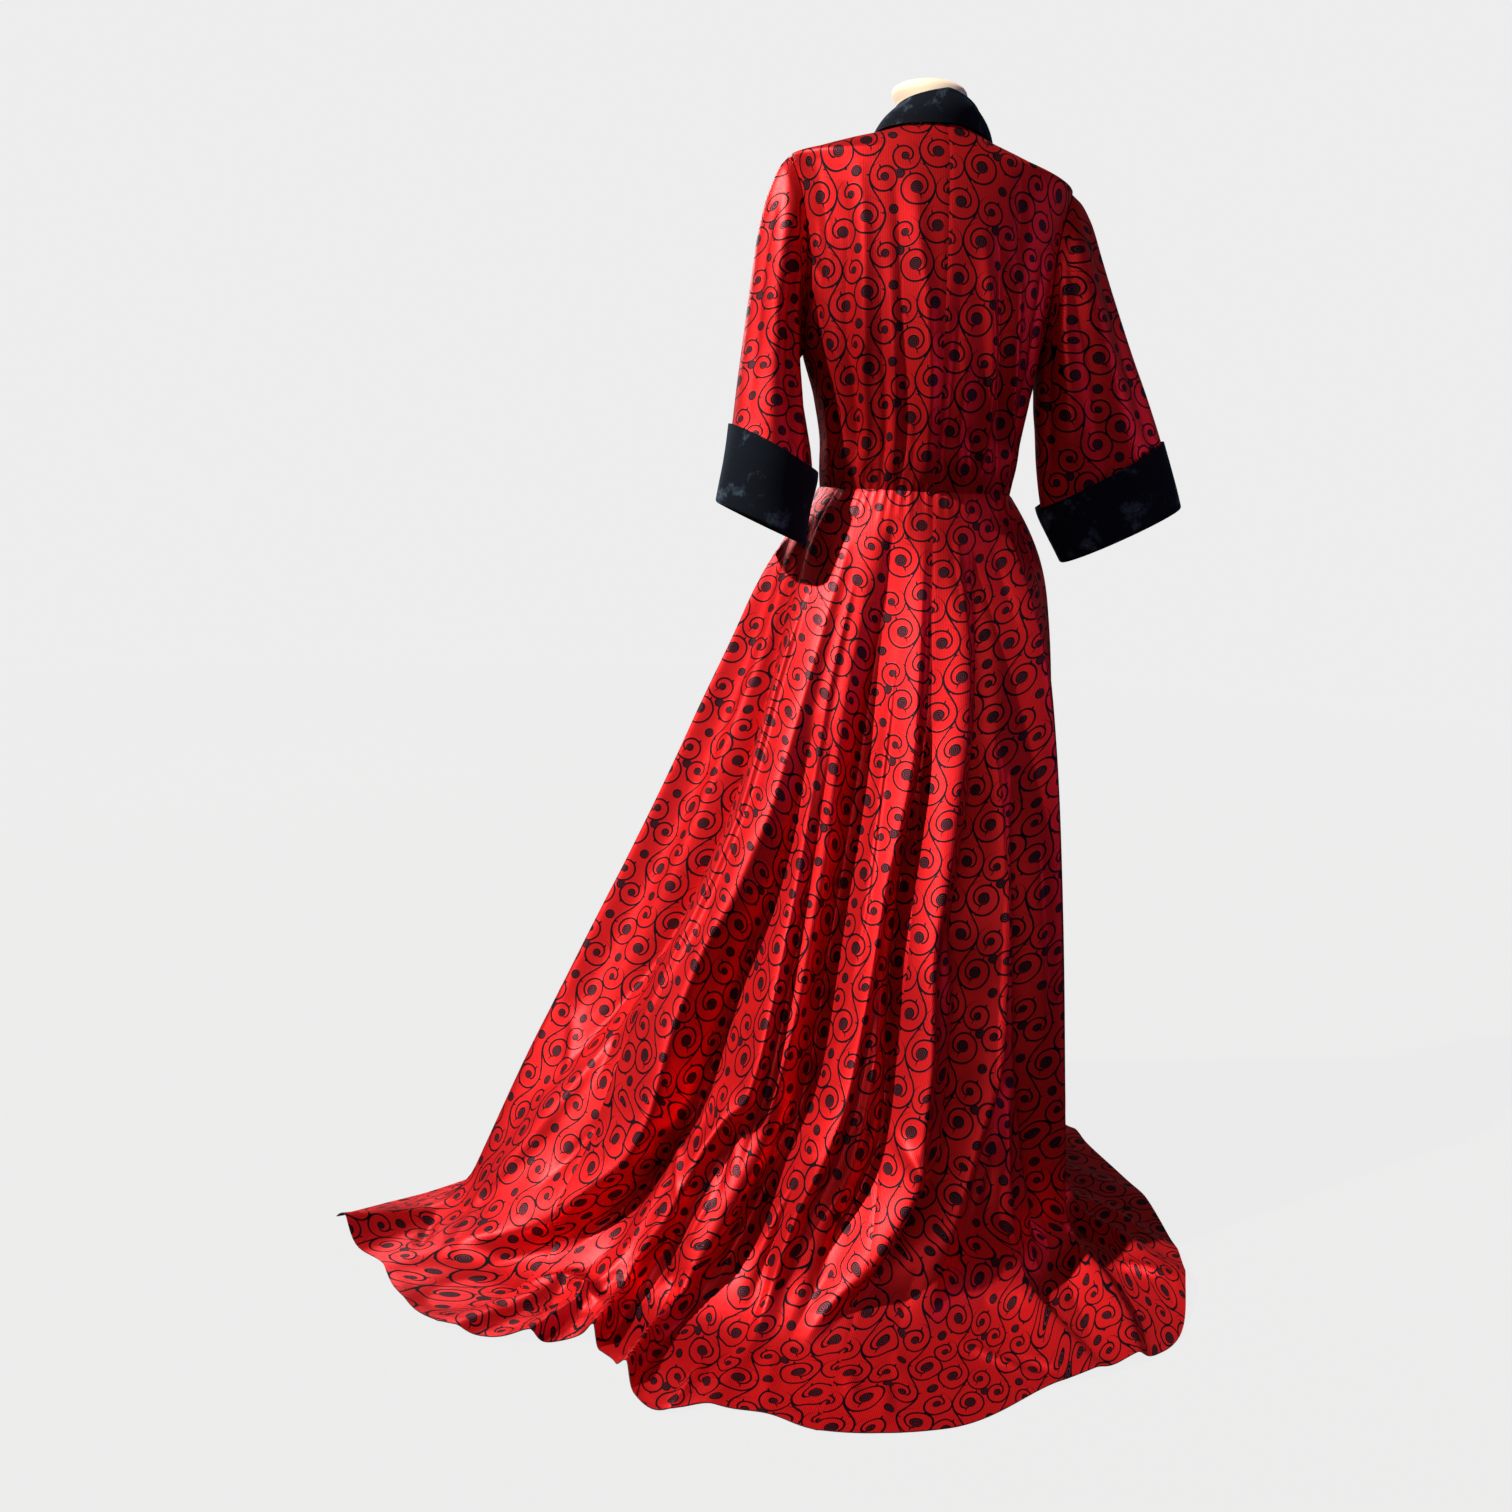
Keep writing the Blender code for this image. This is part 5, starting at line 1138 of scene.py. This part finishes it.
def sleeveNormal(sideName, side, ring):
    last = len(sleeves[sideName]) - 1
    inside = np.clip(ring, probeStep, last - probeStep)
    return surfaceNormal(partial(sleeveSurface, sideName, side), sleeveTurns, inside, turnStep=1.0)


def tubeFlat(points):
    # places on the cloth of a tube: round it from the underarm, and down along its axis
    centres = points[:-1].mean(axis=0)
    axis = unit(np.gradient(centres, axis=0))
    down = arcLengths(centres, 0)
    along = down + np.einsum("ijk,jk->ij", points - centres, axis)
    steps = np.diff(points, axis=0)
    steps = steps - np.einsum("ijk,jk->ij", steps, axis)[..., None] * axis
    across = np.cumsum(np.linalg.norm(steps, axis=-1), axis=0)
    across = np.concatenate([np.zeros((1, points.shape[1])), across])
    middle = across[len(across) // 2]
    return np.stack([across - middle + sleeves["patternStart"], along], axis=-1)


def sleeveLift(sideName, ring):
    lift = np.zeros(np.broadcast(sleeveTurns, ring).shape)
    for rows in sleeves[sideName + "Folds"]:
        place, direction, height, width = np.array(rows).T
        centre = curveThrough(place, direction, ring)
        away = turnDifference(sleeveTurns, centre) / curveThrough(place, width, ring)
        within = (ring >= place[0]) & (ring <= place[-1])
        rise = millimetre * curveThrough(place, height, ring)
        lift = lift + np.where(within, rise, 0.0) * np.exp(-np.abs(away) ** ridgeRoundness)
    return lift * easeBetween(0.0, sleeves["calmRings"], ring)


def buildSleeve(sideName, side):
    ring = np.linspace(0.0, len(sleeves[sideName]) - 1.0, sleeves["rows"])[None, :]
    flip = np.array([side, 1.0, 1.0])
    outward = sleeveNormal(sideName, side, ring)
    points = sleeveSurface(sideName, side, sleeveTurns, ring)
    points = points + outward * sleeveLift(sideName, ring)[..., None]
    points, outward = points * flip, outward * flip
    points[-1] = points[0]
    node = "sleeve_" + sideName
    flat = tubeFlat(points)
    piece = layGrid(node + "_cloth", points, outward, flat, brocadeCloths, clothThickness, closed=True)
    finishSheet(piece, node)


def buildCuff(sideName, side):
    # the outside of the cuff, its rolled lower edge and the turning inside the sleeve
    last = len(sleeves[sideName]) - 1.0
    outsideRows, insideRows = sleeves["cuffRows"]
    outside = np.linspace(sleeves["cuffTop"], last, outsideRows)
    inside = np.linspace(last, last - sleeves["cuffInside"], insideRows)
    flare = sleeves["cuffFlare"] * (1 - (outside - sleeves["cuffTop"]) / (last - sleeves["cuffTop"]))
    ring = np.concatenate([outside, inside])[None, :]
    off = np.concatenate([sleeves["cuffClear"] + flare, np.full(insideRows, -sleeves["cuffInner"])])
    wave = np.sin(np.radians(sleeves["cuffWaves"] * sleeveTurns + sleeves["cuffWaveTurn"] * ring))
    wave = sleeves["cuffWave"] * wave * easeBetween(last, last - 1.0, ring)
    outward = sleeveNormal(sideName, side, ring)
    points = sleeveSurface(sideName, side, sleeveTurns, ring) + outward * (off + wave)[..., None]
    # the roll under the sleeve's end, between the outside and the inside
    low = points[:, outsideRows - 1]
    high = points[:, outsideRows]
    along = unit(low - points[:, outsideRows - 2])
    middle = (low + high) / 2
    roll = []
    for step in np.radians(sleeves["cuffRollTurns"]):
        roll.append(middle + (low - middle) * math.cos(step) + along * sleeves["cuffRoll"] * math.sin(step))
    roll = np.stack(roll, axis=1)
    points = np.concatenate([points[:, :outsideRows], roll, points[:, outsideRows:]], axis=1)
    points = points * np.array([side, 1.0, 1.0])
    points[-1] = points[0]
    outward = gridNormals(points, closed=True)
    row = 5
    outward *= np.sign(np.sum(outward[0, row] * (points[0, row] - points[:, row].mean(axis=0))))
    node = "velvet_cuff_" + sideName
    flat = np.stack([arcLengths(points, 0), arcLengths(points, 1)], axis=-1)
    piece = layGrid(node + "_cloth", points, outward, flat, velvetCloths, velvetThickness, closed=True)
    finishSheet(piece, node)


for sideName, side in (("left", 1), ("right", -1)):
    buildSleeve(sideName, side)
    buildCuff(sideName, side)
print("sleeves and cuffs laid")

# Collar

collar = {
    # direction, height of the stand, its lean, level where the fall's edge lies on the
    # bodice and how far it stands off it there
    "sections": (
        (0.0, 0.039, 0.009, 11.85, 0.0032),
        (90.0, 0.024, 0.007, 11.35, 0.0034),
        (150.0, 0.017, 0.003, 9.9, 0.0053),
        (178.0, 0.012, 0.000, 9.2, 0.0061),
    ),
    "foldRadius": 0.0028,
    "footGap": 0.0016,
    "end": 177.0,
    "centre": 0.005,
    "belly": 0.003,
    "bellyRise": 0.5,
    "columns": 161,
    "standRows": 9,
    "foldRows": 9,
    "fallRows": 25,
}


def buildCollar():
    angle = np.linspace(-collar["end"], collar["end"], collar["columns"])
    sections = np.array(collar["sections"])
    stand, lean, edgeLevel, standOff = [
        curveThrough(sections[:, 0], column, np.abs(angle)) for column in sections.T[1:]]
    radius = collar["foldRadius"]
    seam = bodiceBase(angle, bodice["neckLevel"])
    sideways = seam - np.array([0.0, collar["centre"], 0.0])
    sideways[:, 2] = 0.0
    sideways = unit(sideways)
    up = np.array([0.0, 0.0, 1.0])
    foot = seam + up * collar["footGap"]
    fold = foot + up * (stand - radius)[:, None] + sideways * (radius - lean)[:, None]
    edge = bodiceBase(angle, edgeLevel)
    edge = edge + surfaceNormal(bodiceBase, angle, edgeLevel) * standOff[:, None]
    inner = fold - sideways * radius
    rows = [foot + (inner - foot) * share for share in np.linspace(0.0, 1.0, collar["standRows"])[:-1]]
    for turn in np.radians(np.linspace(180.0, 0.0, collar["foldRows"])):
        rows.append(fold + (sideways * math.cos(turn) + up * math.sin(turn)) * radius)
    fallTop = rows[-1]
    belly = (sideways + up * collar["bellyRise"]) * collar["belly"]
    for share in np.linspace(0.0, 1.0, collar["fallRows"])[1:]:
        rows.append(fallTop + (edge - fallTop) * share + belly * math.sin(math.pi * share))
    points = np.stack(rows, axis=1)
    outward = gridNormals(points)
    middle = len(angle) // 2
    outward *= np.sign(outward[middle, -5] @ sideways[middle])
    flat = np.stack([arcLengths(points, 0), arcLengths(points, 1)], axis=-1)
    piece = layGrid("velvet_collar_cloth", points, outward, flat, velvetCloths, velvetThickness)
    restsOn = ["back_bodice_left_cloth", "back_bodice_right_cloth"]
    restsOn += ["front_bodice_left_cloth", "front_bodice_right_cloth"]
    finishSheet(piece, "velvet_collar")


buildCollar()
print("collar laid")

# Dress form and stand

form = {
    # half width, back reach, front reach, height
    "lowerRings": (
        (0.138, 0.11, 0.088, 0.62),
        (0.156, 0.126, 0.1, 0.632),
        (0.166, 0.134, 0.108, 0.7),
        (0.16, 0.128, 0.106, 0.77),
        (0.138, 0.108, 0.096, 0.84),
    ),
    # the same, and then the ring's middle across and towards +Y
    "neckRings": (
        (0.0425, 0.049, 0.046, 1.328, 0.001, 0.005),
        (0.0415, 0.0465, 0.044, 1.349, 0.001, 0.002),
        (0.046, 0.047, 0.0445, 1.362, 0.008, -0.001),
        (0.0445, 0.0455, 0.043, 1.371, 0.009, -0.002),
        (0.03, 0.0305, 0.029, 1.3765, 0.009, -0.002),
    ),
    "top": 1.378,
    "topShares": (0.66, 0.33, 0.0),
    "bottomShares": (0.0, 0.5, 0.9, 0.985),
    "clearance": 0.006,
    "shoulderClearance": 0.0024,
    # the shoulders, where the bodice rests: turn from the side line, and level
    "shoulderTurn": (40, 10),
    "shoulderLevel": (7, 8),
    "columns": 91,
    "bodyRings": 30,
}


def flatRing(angle, halfWidth, backReach, frontReach, height, middleX=0.0, middleY=0.0):
    ring = ringPoint(angle, (halfWidth, backReach, frontReach, 0.0, height, height, height))
    return ring + np.array([middleX, middleY, 0.0])


def buildForm():
    angle = np.linspace(0.0, 360.0, form["columns"])
    rings = [flatRing(angle, *row) for row in form["lowerRings"]]
    fromSide = np.abs(np.abs(turnDifference(angle, 0.0)) - 90.0)
    for level in np.linspace(0.0, bodice["neckLevel"], form["bodyRings"]):
        rests = easeBetween(*form["shoulderTurn"], fromSide) * easeBetween(*form["shoulderLevel"], level)
        inset = form["clearance"] + (form["shoulderClearance"] - form["clearance"]) * rests
        rings.append(bodiceBase(angle, level) - surfaceNormal(bodiceBase, angle, level) * inset[:, None])
    rings += [flatRing(angle, *row) for row in form["neckRings"]]
    crown = np.array([*form["neckRings"][-1][4:], form["top"]])
    bottom = np.array([0.0, 0.0, form["lowerRings"][0][3]])
    starts = [bottom + (rings[0] - bottom) * share for share in form["bottomShares"]]
    ends = [crown + (rings[-1] - crown) * np.array([share, share, share ** 2]) for share in form["topShares"]]
    points = np.stack(starts + rings + ends, axis=1)[:, ::-1]
    points[-1] = points[0]
    item = gridMesh("dress_form_cover", points)[0]
    mendFaces(merge=True, flip=False, settle=True)
    item.data.materials.append(jerseyCloth)
    applyModifier(item, "SUBSURF", levels=1, render_levels=1)
    bpy.ops.object.shade_smooth_by_angle(angle=skinSmoothAngle)
    standFor(item, "dress_form")


buildForm()
for node in ("stand_pole", "stand_base"):
    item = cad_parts[node]
    item.data.materials.clear()
    item.data.materials.append(blackPaint)
print("form and stand dressed")

# Buttons: a domed mould covered in the velvet, its cloth drawn in behind a narrow edge

button = {
    "levels": (0.7, 2.4, 4.2, 6.2, 8.2),
    "radius": 0.0074,
    "gap": 0.0009,
    # share of the radius and height above the seat, from the back's middle to the crown
    "profile": (
        (0, 0.3), (0.5, 0.1), (0.8, 0.2), (0.93, 0.5), (0.99, 1), (1, 1.5), (0.96, 2.1),
        (0.87, 2.7), (0.73, 3.2), (0.55, 3.6), (0.34, 3.85), (0.14, 3.95), (0, 4),
    ),
    "turns": 40,
}


def buildButton(node, level):
    reach, height = np.array(button["profile"]).T * np.array([[button["radius"]], [millimetre]])
    turn = np.linspace(0.0, math.tau, button["turns"] + 1)
    seat = bodice["lapStep"] + clothThickness / 2 + button["gap"]
    outward = bodiceOutward(180.0, level)
    sideways = np.array([1.0, 0.0, 0.0])
    upward = np.cross(sideways, outward)
    spokes = np.cos(turn)[:, None] * sideways + np.sin(turn)[:, None] * upward
    centre = bodiceBase(180.0, level) + outward * seat
    points = centre + spokes[:, None, :] * reach[None, :, None] + outward * height[None, :, None]
    item = gridMesh(node + "_cover", points)[0]
    mendFaces(merge=True, flip=False, settle=True)
    item.data.materials.append(velvetCloths[0])
    bpy.ops.object.shade_smooth_by_angle(angle=skinSmoothAngle)
    standFor(item, node)


for index, level in enumerate(button["levels"]):
    buildButton("front_button_%d" % (index + 1), level)
print("buttons covered")

# Floor, light and camera

studio = {
    "backdrop": "#ededed",
    "floorSize": 60.0,
    "floorFade": (1.0, 5.5),
    "floorShade": 0.012,
    "floorDim": -0.025,
    "ambient": 0.08,
    "imageSize": 1512,
}
# the camera, fitted to the photo: direction from +Y towards +X and turn from there in
# degrees, distance and height in metres, focal length in pixels
photoCamera = {
    "azimuth": 13.12842679,
    "aim": -5.91694141,
    "pitch": 11.27738776,
    "roll": 2.43175825,
    "distance": 1.7620814,
    "height": 0.89989143,
    "focal": 1360.576143,
    "sensor": 36.0,
    "clipEnd": 200.0,
}
# the window's daylight: direction from +Y towards +X and height in degrees
windowLight = {
    "azimuth": 79.0,
    "elevation": 42.0,
    "distance": 4.0,
    "spread": 1.2,
    "power": 6.4,
    "tint": "#ffeedc",
}
# soft fills: place, side in metres, power, tint
softLights = {
    "camera_fill": ((1.5, 3.4, 2.2), 1.8, 20.0, "#ffe2e0"),
    "violet_fill": ((-2.9, 1.2, 1.4), 1.4, 10.0, "#e49cff"),
    "front_light": ((1.6, -3.0, 2.3), 1.2, 45.0, "#ffffff"),
}
gownMiddle = (0.0, 0.0, 0.7)


def buildFloor():
    # a pale floor that fades into the backdrop away from the gown, so no horizon shows
    deselectAll()
    bpy.ops.mesh.primitive_plane_add(size=studio["floorSize"], location=(0, 0, 0))
    floor = bpy.context.object
    floor.name = "studio_floor"
    material, add = newMaterial("pale_studio_floor")
    away = add("VectorMath", add("TexCoord").node.outputs["Object"], operation="LENGTH")
    near = add("MapRange", away, *studio["floorFade"], 1.0, 0.0, interpolation_type="SMOOTHSTEP")
    shade = add("Math", near, studio["floorShade"], operation="MULTIPLY")
    grey = add("CombineColor", shade, shade, shade)
    glow = add("Math", near, studio["floorDim"], 1.0, operation="MULTIPLY_ADD")
    seen = add("LightPath").node.outputs["Is Camera Ray"]
    glow = add("Math", glow, seen, operation="MULTIPLY")
    setShader(material, BaseColor=grey, Roughness=0.9, SpecularIORLevel=0.0,
              EmissionColor=colour(studio["backdrop"]), EmissionStrength=glow)
    floor.data.materials.append(material)


def buildWorld():
    # the backdrop is bright to the camera and dim to the gown
    world = bpy.data.worlds.new("studio_world")
    bpy.context.scene.world = world
    world.use_nodes = True
    tree = world.node_tree
    seen = addNode(tree, "LightPath").node.outputs["Is Camera Ray"]
    ambient = studio["ambient"]
    strength = addNode(tree, "Math", seen, 1 - ambient, ambient, operation="MULTIPLY_ADD")
    feedNode(tree, tree.nodes["Background"], (), {"Color": colour(studio["backdrop"]), "Strength": strength})


def addLight(name, kind, place, target, power, tint):
    deselectAll()
    bpy.ops.object.light_add(type=kind, location=place)
    item = bpy.context.object
    item.name = name
    item.data.energy = power
    item.data.color = colour(tint)[:3]
    item.rotation_euler = (Vector(target) - Vector(place)).to_track_quat("-Z", "Y").to_euler()
    return item.data


def addWindow():
    turn, rise = math.radians(windowLight["azimuth"]), math.radians(windowLight["elevation"])
    towards = Vector((math.sin(turn) * math.cos(rise), math.cos(turn) * math.cos(rise), math.sin(rise)))
    place = towards * windowLight["distance"]
    lamp = addLight("window_light", "SUN", place, (0, 0, 0), windowLight["power"], windowLight["tint"])
    lamp.angle = math.radians(windowLight["spread"])


def addFills():
    for name, (place, size, power, tint) in softLights.items():
        lamp = addLight(name, "AREA", place, gownMiddle, power, tint)
        lamp.shape = "SQUARE"
        lamp.size = size


def addCamera():
    turns = ("azimuth", "aim", "pitch", "roll")
    azimuth, aim, pitch, roll = [math.radians(photoCamera[key]) for key in turns]
    distance, height = photoCamera["distance"], photoCamera["height"]
    yaw = azimuth + aim
    ahead = Vector((-math.sin(yaw) * math.cos(pitch), -math.cos(yaw) * math.cos(pitch), -math.sin(pitch)))
    right = ahead.cross(Vector((0, 0, 1))).normalized()
    up = right.cross(ahead)
    imageRight = right * math.cos(roll) + up * math.sin(roll)
    imageUp = up * math.cos(roll) - right * math.sin(roll)
    camera = bpy.data.cameras.new("photo_camera")
    camera.sensor_width = photoCamera["sensor"]
    camera.lens = photoCamera["sensor"] * photoCamera["focal"] / studio["imageSize"]
    camera.clip_end = photoCamera["clipEnd"]
    item = bpy.data.objects.new("photo_camera", camera)
    bpy.context.scene.collection.objects.link(item)
    turned = Matrix((imageRight, imageUp, -ahead)).transposed().to_4x4()
    turned.translation = Vector((distance * math.sin(azimuth), distance * math.cos(azimuth), height))
    item.matrix_world = turned
    bpy.context.scene.camera = item


buildFloor()
buildWorld()
addWindow()
addFills()
addCamera()
bpy.context.scene.view_settings.view_transform = "Standard"
bpy.context.scene.view_settings.look = "None"
print("studio set")
